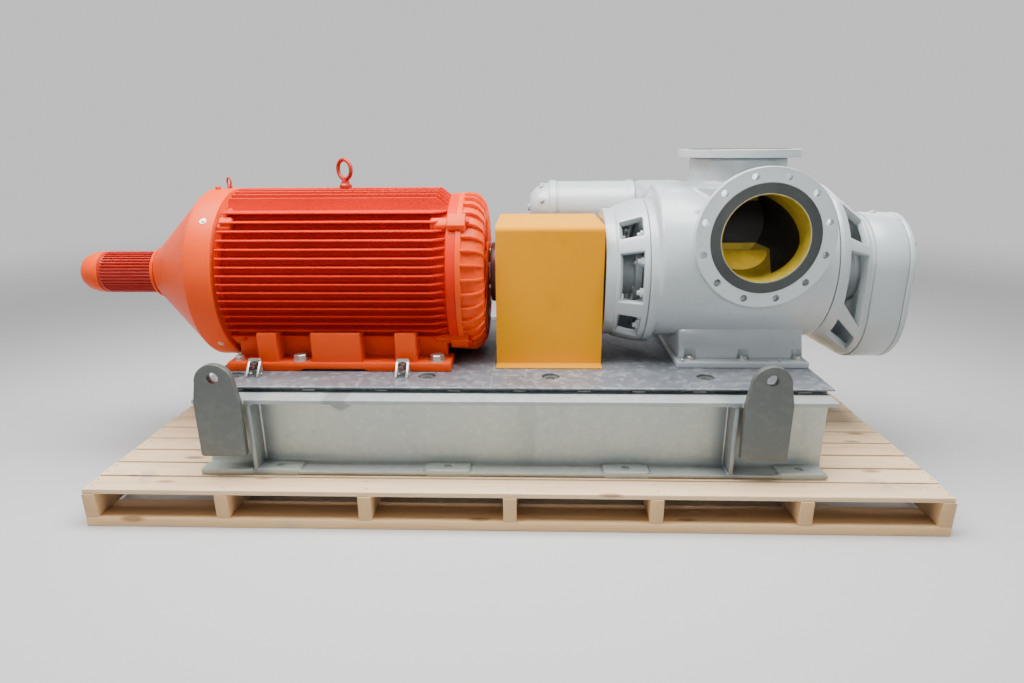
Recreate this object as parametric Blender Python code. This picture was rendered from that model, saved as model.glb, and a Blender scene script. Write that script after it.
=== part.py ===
"""Twin-screw pump unit: electric motor, coupling and pump on a steel skid, standing on a shipping pallet.

Metres, +Z up. The origin is on the ground under the middle of the pallet. +X runs from the motor to the
pump, along the shaft. -Y is the side of the suction flange, +Y the side of the relief valve.
"""

import math

import bmesh
import bpy
from mathutils import Matrix, Vector

# Clearances
GAP = 0.0003  # between pieces that touch
SHAFT_FIT = 0.0003  # round a turning shaft

# Round pieces
FINE = 48
MEDIUM = 32
COARSE = 12

# Pallet
PALLET_LENGTH = 2.95
PALLET_DEPTH = 1.325
RUNNER_THICKNESS = 0.035
RUNNER_WIDTH = 0.12
STRINGER_HEIGHT = 0.089
STRINGER_WIDTH = 0.045
STRINGER_PITCH = 0.495
DECK_THICKNESS = 0.018
DECK_TOP = RUNNER_THICKNESS + STRINGER_HEIGHT + DECK_THICKNESS

# Skid
BEAM_LENGTH = 2.20
BEAM_HEIGHT = 0.288
BEAM_OUTER_Y = 0.55
FLANGE_WIDTH = 0.16
FLANGE_THICKNESS = 0.015
WEB_THICKNESS = 0.010
WEB_Y = BEAM_OUTER_Y - FLANGE_WIDTH / 2
BEAM_BOTTOM = DECK_TOP + GAP
BEAM_TOP = DECK_TOP + BEAM_HEIGHT
STIFFENER_X = (-0.905, 0.765)
STIFFENER_THICKNESS = 0.014
ANCHOR_X = (-0.83, -0.225, 0.405, 1.01)
ANCHOR_PAD = (0.16, 0.070, 0.010)
ANCHOR_HOLE_RADIUS = 0.014
CROSS_X = (-0.99, -0.33, 0.33, 0.99)
CROSS_HEIGHT = 0.20
CROSS_WIDTH = 0.075
CROSS_THICKNESS = 0.010
PLATE_LENGTH = 2.23
PLATE_DEPTH = 0.956
PLATE_TOP = BEAM_TOP + 0.022
PLUG_HOLE_X = (-1.03, -0.312, 0.142, 0.704)
PLUG_HOLE_Y = 0.36
PLUG_HOLE_RADIUS = 0.033

# Lifting lugs
LUG_X = (-1.000, 0.862)
LUG_HALF_WIDTH = 0.079
LUG_HEAD_RADIUS = 0.066
LUG_HEAD_Z = 0.500
LUG_BOTTOM = 0.228
LUG_HOLE_Z = 0.518
LUG_HOLE_RADIUS = 0.020
LUG_THICKNESS = 0.025

# Motor, frame size 315
MOTOR_SHIM = 0.003
AXIS_Z = PLATE_TOP + MOTOR_SHIM + 0.315
FIN_RADIUS = 0.335
FIN_ROOT_RADIUS = 0.292
FIN_LOWEST = PLATE_TOP + 0.010
FIN_PITCH = 0.0295
FIN_THICKNESS = 0.008
FINS_A_QUARTER = 14
FRAME_LEFT = -1.08
FRAME_RIGHT = -0.205
FOOT_LEFT = -1.075
FOOT_RIGHT = -0.230
FOOT_OUTER_Y = 0.320
FOOT_INNER_Y = 0.185
FOOT_THICKNESS = 0.030
FOOT_RIBS = ((-0.955, -0.880), (-0.753, -0.565), (-0.438, -0.358))
FOOT_ARCH = (-0.797, -0.540)
SHIELD_RIGHT = -0.10
SHIELD_RADIUS = 0.316
BEARING_BOTTOM = -0.185
COWL_RADIUS = 0.335
COWL_SHOULDER = -1.182
COWL_NOSE = -1.436
COWL_NOSE_RADIUS = 0.095
FAN_MOTOR_RADIUS = 0.084
FAN_MOTOR_FINS = 20
FAN_MOTOR_RIGHT = -1.451
FAN_MOTOR_SEAM = -1.675
FAN_MOTOR_END = -1.768
EYEBOLT_X = -0.66
EYEBOLT_RING_Z = 1.174
EYEBOLT_RING_RADIUS = 0.036
EYEBOLT_BAR_RADIUS = 0.0095
REAR_EYEBOLT_X = -1.123
REAR_EYEBOLT_RING_Z = 1.128
REAR_EYEBOLT_SCALE = 0.45
TERMINAL_BOX = ((-0.80, 0.36, 0.66), (-0.44, 0.55, 0.96))
TERMINAL_LID_THICKNESS = 0.025

# Drive train
SHAFT_RADIUS = 0.050
PUMP_SHAFT_RADIUS = 0.040
HUB_RADIUS = 0.12
HUB_NECK_RADIUS = 0.09
COUPLING_RADIUS = 0.125
HUB_LEFT = -0.090
ELEMENT_LEFT = 0.110
ELEMENT_RIGHT = 0.160
HUB_RIGHT = 0.338

# Coupling guard
GUARD_LEFT = -0.062
GUARD_RIGHT = 0.338
GUARD_HALF_DEPTH = 0.23
GUARD_TOP = 0.980
GUARD_WALL = 0.004
GUARD_HOLE_RADIUS = 0.132

# Pump
CASING_Z = 0.815
CASING_RADIUS = 0.300
CASING_LEFT = 0.50
CASING_RIGHT = 1.158
CASING_RIM_RADIUS = 0.285
CASING_RIM_RIGHT = 0.540
CASING_RIM_Z = 0.775
FLANGE_RADIUS = 0.2413
FLANGE_PLATE = 0.030
RAISED_FACE_RADIUS = 0.1905
RAISED_FACE = 0.002
BORE_RADIUS = 0.1525
NECK_RADIUS = 0.190
BOLT_CIRCLE_RADIUS = 0.2159
BOLT_HOLE_RADIUS = 0.013
BOLT_HOLES = 12
SUCTION_X = 0.875
SUCTION_Z = 0.947
SUCTION_FACE_Y = -0.336
DISCHARGE_X = 0.855
DISCHARGE_FACE_Z = 1.242
DISCHARGE_RADIUS = 0.2225
DISCHARGE_RAISED_RADIUS = 0.185
DISCHARGE_BOLT_CIRCLE_RADIUS = 0.200
DISCHARGE_BORE_RADIUS = 0.150
DISCHARGE_NECK_RADIUS = 0.178
ROTOR_HOUSING_RADIUS = 0.115
ROTOR_HOUSING_RIGHT = 1.05
ROTOR_HOUSING_Z = 0.742
BRACKET_LEFT = 0.345
BRACKET_DISC_RIGHT = 0.382
BRACKET_DISC_RADIUS = 0.25
BRACKET_WALL = 0.032
SEAL_RADIUS = 0.088
GEAR_CASE_LEFT = 1.335
GEAR_COVER_LEFT = 1.455
GEAR_COVER_RIGHT = 1.478
GEAR_CASE_RADIUS = 0.200
GEAR_CASE_HALF_STRAIGHT = 0.088
GEAR_CASE_Z = 0.715
RELIEF_Y = 0.397
RELIEF_Z = 0.990
RELIEF_RADIUS = 0.115
RELIEF_LEFT = 0.18
RELIEF_RIGHT = 0.52
RELIEF_CAP_LEFT = 0.062
RELIEF_BLOCK = ((0.5203, 0.10, 0.865), (0.76, 0.505, 1.105))
PUMP_FOOT = ((0.62, -0.266), (1.112, 0.266))
PUMP_FOOT_THICKNESS = 0.024

# Paints and metals: colour, roughness, metallic
PINE = ((0.78, 0.60, 0.40), 0.8, 0.0)
GALVANISED = ((0.55, 0.57, 0.58), 0.45, 0.8)
LUG_STEEL = ((0.28, 0.30, 0.29), 0.55, 0.6)
MOTOR_RED = ((0.66, 0.06, 0.01), 0.4, 0.0)
MOTOR_ORANGE = ((0.80, 0.16, 0.03), 0.4, 0.0)
FAN_MOTOR_RED = ((0.40, 0.03, 0.01), 0.4, 0.0)
GUARD_YELLOW = ((0.85, 0.45, 0.02), 0.4, 0.0)
PUMP_GREY = ((0.60, 0.63, 0.62), 0.35, 0.0)
DARK_STEEL = ((0.12, 0.12, 0.12), 0.4, 0.9)


def clear_scene():
    for thing in list(bpy.data.objects):
        bpy.data.objects.remove(thing, do_unlink=True)


def material(name, finish):
    colour, roughness, metallic = finish
    made = bpy.data.materials.new(name)
    made.use_nodes = True
    shader = made.node_tree.nodes["Principled BSDF"]
    shader.inputs["Base Color"].default_value = (*colour, 1.0)
    shader.inputs["Roughness"].default_value = roughness
    shader.inputs["Metallic"].default_value = metallic
    return made


def keep(name, work, finish, location=(0, 0, 0), smooth=True):
    """Makes the finished bmesh an object of that name."""
    bmesh.ops.recalc_face_normals(work, faces=work.faces)
    mesh = bpy.data.meshes.new(name)
    work.to_mesh(mesh)
    work.free()
    if smooth:
        mesh.shade_smooth()
        mesh.set_sharp_from_angle(angle=math.radians(30))
    made = bpy.data.objects.new(name, mesh)
    made.location = location
    bpy.context.collection.objects.link(made)
    if finish:
        made.data.materials.append(material(name + "_paint", finish))
    return made


def guide(thing):
    """A cutter or an added block: used by a Boolean, never a piece of its own."""
    thing.hide_render = True
    thing.display_type = "WIRE"
    return thing


def boolean(thing, operation, *others):
    for other in others:
        guide(other)
        modifier = thing.modifiers.new(operation.lower(), "BOOLEAN")
        modifier.operation = operation
        modifier.object = other
    return thing


def cut(thing, *cutters):
    return boolean(thing, "DIFFERENCE", *cutters)


def join(thing, *blocks):
    return boolean(thing, "UNION", *blocks)


def box(name, low, high, finish=None, bevel=0.0):
    """A block from its low corner to its high corner, with rounded edges where a bevel is given."""
    work = bmesh.new()
    size = [b - a for a, b in zip(low, high)]
    centre = [(a + b) / 2 for a, b in zip(low, high)]
    place = Matrix.Translation(centre) @ Matrix.Diagonal((*size, 1.0))
    bmesh.ops.create_cube(work, size=1.0, matrix=place)
    if bevel:
        bmesh.ops.bevel(work, geom=work.edges[:], offset=bevel, segments=2, profile=0.5,
                        affect="EDGES", clamp_overlap=True)
    return keep(name, work, finish, smooth=bevel > 0)


def extruded(name, outline, axis, low, high, finish=None):
    """An outline of 2-D points drawn across an axis and extruded along it.

    Along X the points are (y, z), along Y they are (x, z), along Z they are (x, y).
    """
    def placed(a, b, along):
        return {"X": (along, a, b), "Y": (a, along, b), "Z": (a, b, along)}[axis]

    work = bmesh.new()
    corners = [work.verts.new(placed(a, b, low)) for a, b in outline]
    face = work.faces.new(corners)
    raised = bmesh.ops.extrude_face_region(work, geom=[face])
    moved = [item for item in raised["geom"] if isinstance(item, bmesh.types.BMVert)]
    shift = Vector(placed(0, 0, high - low))
    bmesh.ops.translate(work, verts=moved, vec=shift)
    return keep(name, work, finish)


def turned(name, profile, axis, centre, finish=None, segments=FINE):
    """A profile of (along, radius) points spun round an axis through centre.

    A profile that starts and ends at radius 0 makes a solid, any other a ring with a bore.
    """
    along = {"X": Vector((1, 0, 0)), "Y": Vector((0, 1, 0)), "Z": Vector((0, 0, 1))}[axis]
    out = {"X": Vector((0, 0, 1)), "Y": Vector((0, 0, 1)), "Z": Vector((1, 0, 0))}[axis]
    work = bmesh.new()
    points = [work.verts.new(along * a + out * r) for a, r in profile]
    edges = [work.edges.new(pair) for pair in zip(points, points[1:])]
    if profile[0][1] > 0:
        edges.append(work.edges.new((points[-1], points[0])))
    bmesh.ops.spin(work, geom=points + edges, cent=(0, 0, 0), axis=along, angle=math.tau,
                   steps=segments, use_merge=True)
    bmesh.ops.remove_doubles(work, verts=work.verts, dist=0.00002)
    return keep(name, work, finish, location=centre)


def ring_points(x, radius, centre_z, half_straight=0.0, segments=FINE):
    """A circle across X, or an upright obround where half_straight is more than 0."""
    points = []
    for step in range(segments):
        angle = math.tau * (step + 0.5) / segments
        rise = math.copysign(half_straight, math.sin(angle))
        points.append((x, radius * math.cos(angle), centre_z + rise + radius * math.sin(angle)))
    return points


def lofted(name, rings, finish=None, closed_round=True):
    """Rings of equal count bridged one to the next; the last ring meets the first, or both ends are filled."""
    work = bmesh.new()
    loops = []
    for ring in rings:
        corners = [work.verts.new(point) for point in ring]
        loops.append(corners)
    pairs = list(zip(loops, loops[1:]))
    if closed_round:
        pairs.append((loops[-1], loops[0]))
    else:
        work.faces.new(loops[0])
        work.faces.new(loops[-1])
    for first, second in pairs:
        count = len(first)
        for step in range(count):
            after = (step + 1) % count
            work.faces.new((first[step], first[after], second[after], second[step]))
    return keep(name, work, finish)


def cylinder(name, axis, centre, radius, low, high, finish=None, segments=FINE):
    return turned(name, [(low, 0), (low, radius), (high, radius), (high, 0)], axis, centre, finish, segments)


def mirrored(outline):
    return [(-a, b) for a, b in reversed(outline)]


def make_pallet():
    half_length = PALLET_LENGTH / 2
    half_depth = PALLET_DEPTH / 2
    runner_rows = {"front": -half_depth + RUNNER_WIDTH / 2, "middle": 0.0, "rear": half_depth - RUNNER_WIDTH / 2}
    for place, y in runner_rows.items():
        box("pallet_runner_" + place, (-half_length, y - RUNNER_WIDTH / 2, 0),
            (half_length, y + RUNNER_WIDTH / 2, RUNNER_THICKNESS - GAP), PINE)
    end = half_length - STRINGER_WIDTH / 2
    rows = [-end, *(STRINGER_PITCH * step for step in range(-2, 3)), end]
    for number, x in enumerate(rows, 1):
        box(f"pallet_stringer_{number}", (x - STRINGER_WIDTH / 2, -half_depth, RUNNER_THICKNESS),
            (x + STRINGER_WIDTH / 2, half_depth, DECK_TOP - DECK_THICKNESS - GAP), PINE)
    box("pallet_deck", (-half_length, -half_depth, DECK_TOP - DECK_THICKNESS),
        (half_length, half_depth, DECK_TOP), PINE)


def beam_outline(side):
    """The H section of a skid beam; side is -1 at the front, +1 at the rear."""
    low, high = BEAM_BOTTOM, BEAM_TOP
    inner = WEB_Y - FLANGE_WIDTH / 2
    web_in = WEB_Y - WEB_THICKNESS / 2
    web_out = WEB_Y + WEB_THICKNESS / 2
    under = low + FLANGE_THICKNESS
    over = high - FLANGE_THICKNESS
    half = [(inner, low), (BEAM_OUTER_Y, low), (BEAM_OUTER_Y, under), (web_out, under), (web_out, over),
            (BEAM_OUTER_Y, over), (BEAM_OUTER_Y, high), (inner, high), (inner, over), (web_in, over),
            (web_in, under), (inner, under)]
    return half if side > 0 else mirrored(half)


def span(side, a, b):
    """The low and high of a stretch from a to b across Y, on the front (-1) or rear (+1) side."""
    return sorted((side * a, side * b))


def make_beam(name, side):
    beam = extruded(name, beam_outline(side), "X", -BEAM_LENGTH / 2, BEAM_LENGTH / 2, GALVANISED)
    sink = 0.002
    low, high = span(side, WEB_Y, BEAM_OUTER_Y - 0.001)
    for number, x in enumerate(STIFFENER_X):
        plate = box(f"{name}_stiffener_{number}",
                    (x - STIFFENER_THICKNESS / 2, low, BEAM_BOTTOM + FLANGE_THICKNESS - sink),
                    (x + STIFFENER_THICKNESS / 2, high, BEAM_TOP - FLANGE_THICKNESS + sink))
        join(beam, plate)
    pad_length, pad_depth, pad_height = ANCHOR_PAD
    top = BEAM_BOTTOM + FLANGE_THICKNESS
    low, high = span(side, BEAM_OUTER_Y - pad_depth, BEAM_OUTER_Y - 0.0005)
    for number, x in enumerate(ANCHOR_X):
        pad = box(f"{name}_pad_{number}", (x - pad_length / 2, low, top - sink),
                  (x + pad_length / 2, high, top + pad_height))
        hole = cylinder(f"{name}_anchor_{number}", "Z", (x, side * (BEAM_OUTER_Y - pad_depth / 2), 0),
                        ANCHOR_HOLE_RADIUS, BEAM_BOTTOM - 0.01, top + pad_height + 0.01, segments=COARSE)
        join(beam, pad)
        cut(beam, hole)


def make_cross_members():
    """Channels between the two beams' webs, toes towards the middle of the skid."""
    reach = WEB_Y - WEB_THICKNESS / 2 - GAP
    top = BEAM_TOP - FLANGE_THICKNESS - GAP
    low = top - CROSS_HEIGHT
    t = CROSS_THICKNESS
    for number, x in enumerate(CROSS_X, 1):
        toe = -CROSS_WIDTH if x > 0 else CROSS_WIDTH
        skin = math.copysign(t, toe)
        outline = [(x, low), (x + toe, low), (x + toe, low + t), (x + skin, low + t),
                   (x + skin, top - t), (x + toe, top - t), (x + toe, top), (x, top)]
        extruded(f"cross_member_{number}", outline, "Y", -reach, reach, GALVANISED)


def make_top_plate():
    plate = box("top_plate", (-PLATE_LENGTH / 2, -PLATE_DEPTH / 2, BEAM_TOP + GAP),
                (PLATE_LENGTH / 2, PLATE_DEPTH / 2, PLATE_TOP), GALVANISED)
    for side in (-1, 1):
        for number, x in enumerate(PLUG_HOLE_X):
            hole = cylinder(f"plug_hole_{side}_{number}", "Z", (x, side * PLUG_HOLE_Y, 0), PLUG_HOLE_RADIUS,
                            BEAM_TOP - 0.01, PLATE_TOP + 0.01, segments=24)
            cut(plate, hole)


def lug_outline(x):
    """An upright plate with a round head, a little narrower at the head than at the foot."""
    steps = 16
    head = []
    for step in range(steps + 1):
        angle = math.pi * step / steps
        head.append((x + LUG_HEAD_RADIUS * math.cos(angle), LUG_HEAD_Z + LUG_HEAD_RADIUS * math.sin(angle)))
    shoulder = BEAM_TOP
    foot = [(x - LUG_HALF_WIDTH, shoulder), (x - LUG_HALF_WIDTH, LUG_BOTTOM),
            (x + LUG_HALF_WIDTH, LUG_BOTTOM), (x + LUG_HALF_WIDTH, shoulder)]
    return head + foot


def make_lugs():
    for side, row in ((-1, "front"), (1, "rear")):
        low, high = span(side, BEAM_OUTER_Y + GAP, BEAM_OUTER_Y + GAP + LUG_THICKNESS)
        for x, place in zip(LUG_X, ("left", "right")):
            lug = extruded(f"lug_{row}_{place}", lug_outline(x), "Y", low, high, LUG_STEEL)
            hole = cylinder(f"lug_hole_{row}_{place}", "Y", (x, 0, LUG_HOLE_Z), LUG_HOLE_RADIUS,
                            low - 0.01, high + 0.01, segments=24)
            cut(lug, hole)


def fin_outline():
    """Four quarters of parallel fins: level at the sides, upright at the top and bottom."""
    points = []
    half = FIN_THICKNESS / 2
    for quarter in range(4):
        turn = math.pi / 2 * quarter
        for number in range(FINS_A_QUARTER):
            offset = (number - (FINS_A_QUARTER - 1) / 2) * FIN_PITCH
            low, high = offset - half, offset + half
            corners = [(math.sqrt(FIN_ROOT_RADIUS**2 - low**2), low), (math.sqrt(FIN_RADIUS**2 - low**2), low),
                       (math.sqrt(FIN_RADIUS**2 - high**2), high),
                       (math.sqrt(FIN_ROOT_RADIUS**2 - high**2), high)]
            for out, across in corners:
                y = out * math.cos(turn) - across * math.sin(turn)
                z = AXIS_Z + out * math.sin(turn) + across * math.cos(turn)
                points.append((y, max(z, FIN_LOWEST)))
    return points


def make_motor_frame():
    frame = extruded("motor_frame", fin_outline(), "X", FRAME_LEFT, FRAME_RIGHT, MOTOR_RED)
    bottom = PLATE_TOP + GAP
    top = PLATE_TOP + MOTOR_SHIM + FOOT_THICKNESS
    for side in (-1, 1):
        low, high = span(side, FOOT_INNER_Y, FOOT_OUTER_Y)
        rib_low, rib_high = span(side, FOOT_INNER_Y + 0.02, FOOT_OUTER_Y - 0.012)
        bar = box(f"foot_bar_{side}", (FOOT_LEFT, low, bottom), (FOOT_RIGHT, high, top))
        join(frame, bar)
        for number, (left, right) in enumerate(FOOT_RIBS):
            rib = box(f"foot_rib_{side}_{number}", (left, rib_low, bottom + 0.01), (right, rib_high, 0.60))
            join(frame, rib)
        arch = box(f"foot_arch_{side}", (FOOT_ARCH[0], low - 0.01, bottom - 0.01),
                   (FOOT_ARCH[1], high + 0.01, bottom + 0.006))
        cut(frame, arch)


def make_motor_ends():
    left = FRAME_RIGHT + GAP
    bore = SHAFT_RADIUS + SHAFT_FIT
    shield = [(left, 0), (left, SHIELD_RADIUS), (-0.145, SHIELD_RADIUS), (-0.122, 0.305), (SHIELD_RIGHT, 0.262),
              (SHIELD_RIGHT, bore), (BEARING_BOTTOM, bore), (BEARING_BOTTOM, 0)]
    turned("drive_end_shield", shield, "X", (0, 0, AXIS_Z), MOTOR_RED)
    right = FRAME_LEFT - GAP
    cowl = [(right, 0), (right, COWL_RADIUS), (COWL_SHOULDER, COWL_RADIUS), (COWL_NOSE, COWL_NOSE_RADIUS),
            (COWL_NOSE - 0.0147, COWL_NOSE_RADIUS), (COWL_NOSE - 0.0147, 0)]
    cover = turned("fan_cowl", cowl, "X", (0, 0, AXIS_Z), MOTOR_ORANGE)
    low, high = (COWL_NOSE, -COWL_RADIUS, FIN_LOWEST - 0.10), (FRAME_LEFT + 0.01, COWL_RADIUS, FIN_LOWEST)
    cut(cover, box("cowl_flat", low, high))


def fan_fin_outline():
    """Short radial fins round the small motor."""
    points = []
    half = 0.10
    for number in range(FAN_MOTOR_FINS):
        middle = math.tau * number / FAN_MOTOR_FINS
        pitch = math.tau / FAN_MOTOR_FINS
        for turn, radius in ((-half, FAN_MOTOR_RADIUS - 0.012), (-half, FAN_MOTOR_RADIUS),
                             (half, FAN_MOTOR_RADIUS), (half, FAN_MOTOR_RADIUS - 0.012)):
            angle = middle + turn * pitch * 2.5
            points.append((radius * math.cos(angle), AXIS_Z + radius * math.sin(angle)))
    return points


def make_fan_motor():
    extruded("fan_motor", fan_fin_outline(), "X", FAN_MOTOR_SEAM, FAN_MOTOR_RIGHT, FAN_MOTOR_RED)
    right = FAN_MOTOR_SEAM - GAP
    depth = right - FAN_MOTOR_END
    dome = [(right, 0), (right, FAN_MOTOR_RADIUS)]
    steps = 6
    for step in range(1, steps):
        angle = math.pi / 2 * step / steps
        radius = 0.035 + (FAN_MOTOR_RADIUS - 0.035) * math.cos(angle)
        dome.append((right - depth * math.sin(angle), radius))
    dome += [(FAN_MOTOR_END, 0.035), (FAN_MOTOR_END, 0)]
    turned("fan_motor_cap", dome, "X", (0, 0, AXIS_Z), MOTOR_ORANGE, MEDIUM)


def make_eyebolt(name, x, seat_z, ring_z, size):
    """A lifting ring on a collar and a short shank."""
    bar = EYEBOLT_BAR_RADIUS * size
    ring_radius = EYEBOLT_RING_RADIUS * size
    collar = [(seat_z, 0), (seat_z, 0.024 * size), (seat_z + 0.012 * size, 0.024 * size),
              (ring_z - ring_radius, 0.013 * size), (ring_z - ring_radius, 0)]
    eyebolt = turned(name, collar, "Z", (x, 0, 0), MOTOR_ORANGE, 16)
    ring = [(bar * math.sin(math.tau * step / 8), ring_radius + bar * math.cos(math.tau * step / 8))
            for step in range(8)]
    join(eyebolt, turned(name + "_ring", ring, "Y", (x, 0, ring_z), segments=24))


def make_terminal_box():
    low, high = TERMINAL_BOX
    case = box("terminal_box", low, high, MOTOR_RED, bevel=0.010)
    saddle_low = (low[0] + 0.05, 0.22, low[2] + 0.03)
    saddle_high = (high[0] - 0.05, low[1] + 0.02, high[2] - 0.05)
    join(case, box("terminal_saddle", saddle_low, saddle_high))
    cut(case, cylinder("terminal_saddle_cut", "X", (0, 0, AXIS_Z), FIN_RADIUS + GAP, FRAME_LEFT, FRAME_RIGHT,
                       segments=96))
    for number, x in enumerate((-0.70, -0.56)):
        gland = cylinder(f"cable_gland_{number}", "Z", (x, 0.455, 0), 0.032, low[2] - 0.045, low[2] + 0.02,
                         segments=MEDIUM)
        join(case, gland)
    lid_low = (low[0] - 0.004, high[1] + GAP, low[2] - 0.004)
    lid_high = (high[0] + 0.004, high[1] + TERMINAL_LID_THICKNESS, high[2] + 0.004)
    box("terminal_box_lid", lid_low, lid_high, MOTOR_RED, bevel=0.006)


def make_drive_train():
    """The pieces that turn together, from the motor's bearing to the pump's."""
    centre = (0, 0, AXIS_Z)
    cylinder("motor_shaft", "X", centre, SHAFT_RADIUS, BEARING_BOTTOM + 0.001, HUB_LEFT - GAP, DARK_STEEL)
    neck = 0.020
    flange = 0.025
    left = [(HUB_LEFT, 0), (HUB_LEFT, HUB_RADIUS), (-0.020, HUB_RADIUS), (-0.020, HUB_NECK_RADIUS),
            (ELEMENT_LEFT - flange, HUB_NECK_RADIUS), (ELEMENT_LEFT - flange, COUPLING_RADIUS),
            (ELEMENT_LEFT - GAP, COUPLING_RADIUS), (ELEMENT_LEFT - GAP, 0)]
    turned("motor_hub", left, "X", centre, DARK_STEEL)
    cylinder("coupling_element", "X", centre, COUPLING_RADIUS - 0.010, ELEMENT_LEFT, ELEMENT_RIGHT, DARK_STEEL)
    right = [(ELEMENT_RIGHT + GAP, 0), (ELEMENT_RIGHT + GAP, COUPLING_RADIUS),
             (ELEMENT_RIGHT + flange, COUPLING_RADIUS), (ELEMENT_RIGHT + flange, HUB_NECK_RADIUS),
             (HUB_RIGHT - neck, HUB_NECK_RADIUS), (HUB_RIGHT, HUB_NECK_RADIUS - neck), (HUB_RIGHT, 0)]
    turned("pump_hub", right, "X", centre, DARK_STEEL)
    cylinder("pump_shaft", "X", centre, PUMP_SHAFT_RADIUS, HUB_RIGHT + GAP, CASING_LEFT - 0.006, DARK_STEEL)


def make_guard():
    """A folded cover, open below, with a hole at each end for the coupling."""
    wall = GUARD_WALL
    floor = PLATE_TOP + GAP
    guard = box("coupling_guard", (GUARD_LEFT, -GUARD_HALF_DEPTH, floor),
                (GUARD_RIGHT, GUARD_HALF_DEPTH, GUARD_TOP), GUARD_YELLOW)
    hollow = box("guard_hollow", (GUARD_LEFT + wall, wall - GUARD_HALF_DEPTH, floor - 0.01),
                 (GUARD_RIGHT - wall, GUARD_HALF_DEPTH - wall, GUARD_TOP - wall))
    way = cylinder("guard_way", "X", (0, 0, AXIS_Z), GUARD_HOLE_RADIUS, GUARD_LEFT - 0.01, GUARD_RIGHT + 0.01)
    cut(guard, hollow, way)


def casing_blanks():
    """The barrel along the shaft, the rim at its drive end, the two necks and the relief valve's chamber."""
    left = CASING_RIM_RIGHT - 0.008
    profile = [(left, 0), (left, CASING_RADIUS - 0.012), (left + 0.012, CASING_RADIUS),
               (CASING_RIGHT - 0.008, CASING_RADIUS), (CASING_RIGHT, CASING_RADIUS - 0.008), (CASING_RIGHT, 0)]
    barrel = turned("pump_casing", profile, "X", (0, 0, CASING_Z), PUMP_GREY)
    rim = cylinder("casing_rim", "X", (0, 0, CASING_RIM_Z), CASING_RIM_RADIUS, CASING_LEFT, CASING_RIM_RIGHT)
    neck_end = SUCTION_FACE_Y + FLANGE_PLATE + GAP
    suction = cylinder("suction_neck", "Y", (SUCTION_X, 0, SUCTION_Z), NECK_RADIUS, neck_end, 0.0)
    top = DISCHARGE_FACE_Z - FLANGE_PLATE - GAP
    discharge = cylinder("discharge_neck", "Z", (DISCHARGE_X, 0, 0), DISCHARGE_NECK_RADIUS, CASING_Z, top)
    chamber = box("relief_chamber", *RELIEF_BLOCK, bevel=0.03)
    return barrel, rim, suction, discharge, chamber


def make_casing():
    barrel, rim, suction, discharge, chamber = casing_blanks()
    join(barrel, rim, suction, discharge, chamber)
    front = SUCTION_FACE_Y - 0.01
    inlet = cylinder("suction_bore", "Y", (SUCTION_X, 0, SUCTION_Z), BORE_RADIUS, front, 0.13,
                     segments=FINE + 2)
    housing = cylinder("rotor_housing", "X", (0, 0, ROTOR_HOUSING_Z), ROTOR_HOUSING_RADIUS,
                       CASING_LEFT + 0.05, ROTOR_HOUSING_RIGHT)
    cut(inlet, housing)
    outlet = cylinder("discharge_bore", "Z", (DISCHARGE_X, 0, 0), DISCHARGE_BORE_RADIUS, 1.14,
                      DISCHARGE_FACE_Z, segments=FINE + 2)
    cut(barrel, outlet, inlet)


def bolt_holes(name, axis, centre, circle, low, high):
    """Holes on a bolt circle, straddling the centre lines."""
    holes = []
    for number in range(BOLT_HOLES):
        angle = math.tau * (number + 0.5) / BOLT_HOLES
        a, b = circle * math.cos(angle), circle * math.sin(angle)
        x, y, z = centre
        place = (x + a, y, z + b) if axis == "Y" else (x + a, y + b, z)
        holes.append(cylinder(f"{name}_{number}", axis, place, BOLT_HOLE_RADIUS, low, high, segments=COARSE))
    return holes


def make_flanges():
    face = SUCTION_FACE_Y
    back = face + FLANGE_PLATE
    centre = (SUCTION_X, 0, SUCTION_Z)
    profile = [(face, BORE_RADIUS), (face, RAISED_FACE_RADIUS), (face + RAISED_FACE, RAISED_FACE_RADIUS),
               (face + RAISED_FACE, FLANGE_RADIUS), (back, FLANGE_RADIUS), (back, BORE_RADIUS)]
    flange = turned("suction_flange", profile, "Y", centre, PUMP_GREY)
    cut(flange, *bolt_holes("suction_hole", "Y", centre, BOLT_CIRCLE_RADIUS, face - 0.01, back + 0.01))
    face = DISCHARGE_FACE_Z
    back = face - FLANGE_PLATE
    centre = (DISCHARGE_X, 0, 0)
    profile = [(face, DISCHARGE_BORE_RADIUS), (face, DISCHARGE_RAISED_RADIUS),
               (face - RAISED_FACE, DISCHARGE_RAISED_RADIUS), (face - RAISED_FACE, DISCHARGE_RADIUS),
               (back, DISCHARGE_RADIUS), (back, DISCHARGE_BORE_RADIUS)]
    flange = turned("discharge_flange", profile, "Z", centre, PUMP_GREY)
    cut(flange, *bolt_holes("discharge_hole", "Z", centre, DISCHARGE_BOLT_CIRCLE_RADIUS,
                            back - 0.01, face + 0.01))


def window(name, left, right, centre_z, angle, width):
    """A block that points outwards from the shaft at an angle above the level, on the front or the rear."""
    work = bmesh.new()
    shape = Matrix.Diagonal((right - left, 0.30, width, 1.0))
    reach = Matrix.Translation((0, 0.27, 0))
    turn = Matrix.Rotation(angle, 4, "X")
    place = Matrix.Translation(((left + right) / 2, 0, centre_z))
    bmesh.ops.create_cube(work, size=1.0, matrix=place @ turn @ reach @ shape)
    return keep(name, work, None, smooth=False)


def cut_windows(bracket, left, right, centre_z, rows):
    for number, (degrees, width) in enumerate(rows):
        for side, base in (("rear", 0.0), ("front", math.pi)):
            angle = base + math.radians(degrees if side == "rear" else -degrees)
            cut(bracket, window(f"{bracket.name}_window_{side}_{number}", left, right, centre_z, angle, width))


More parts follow.
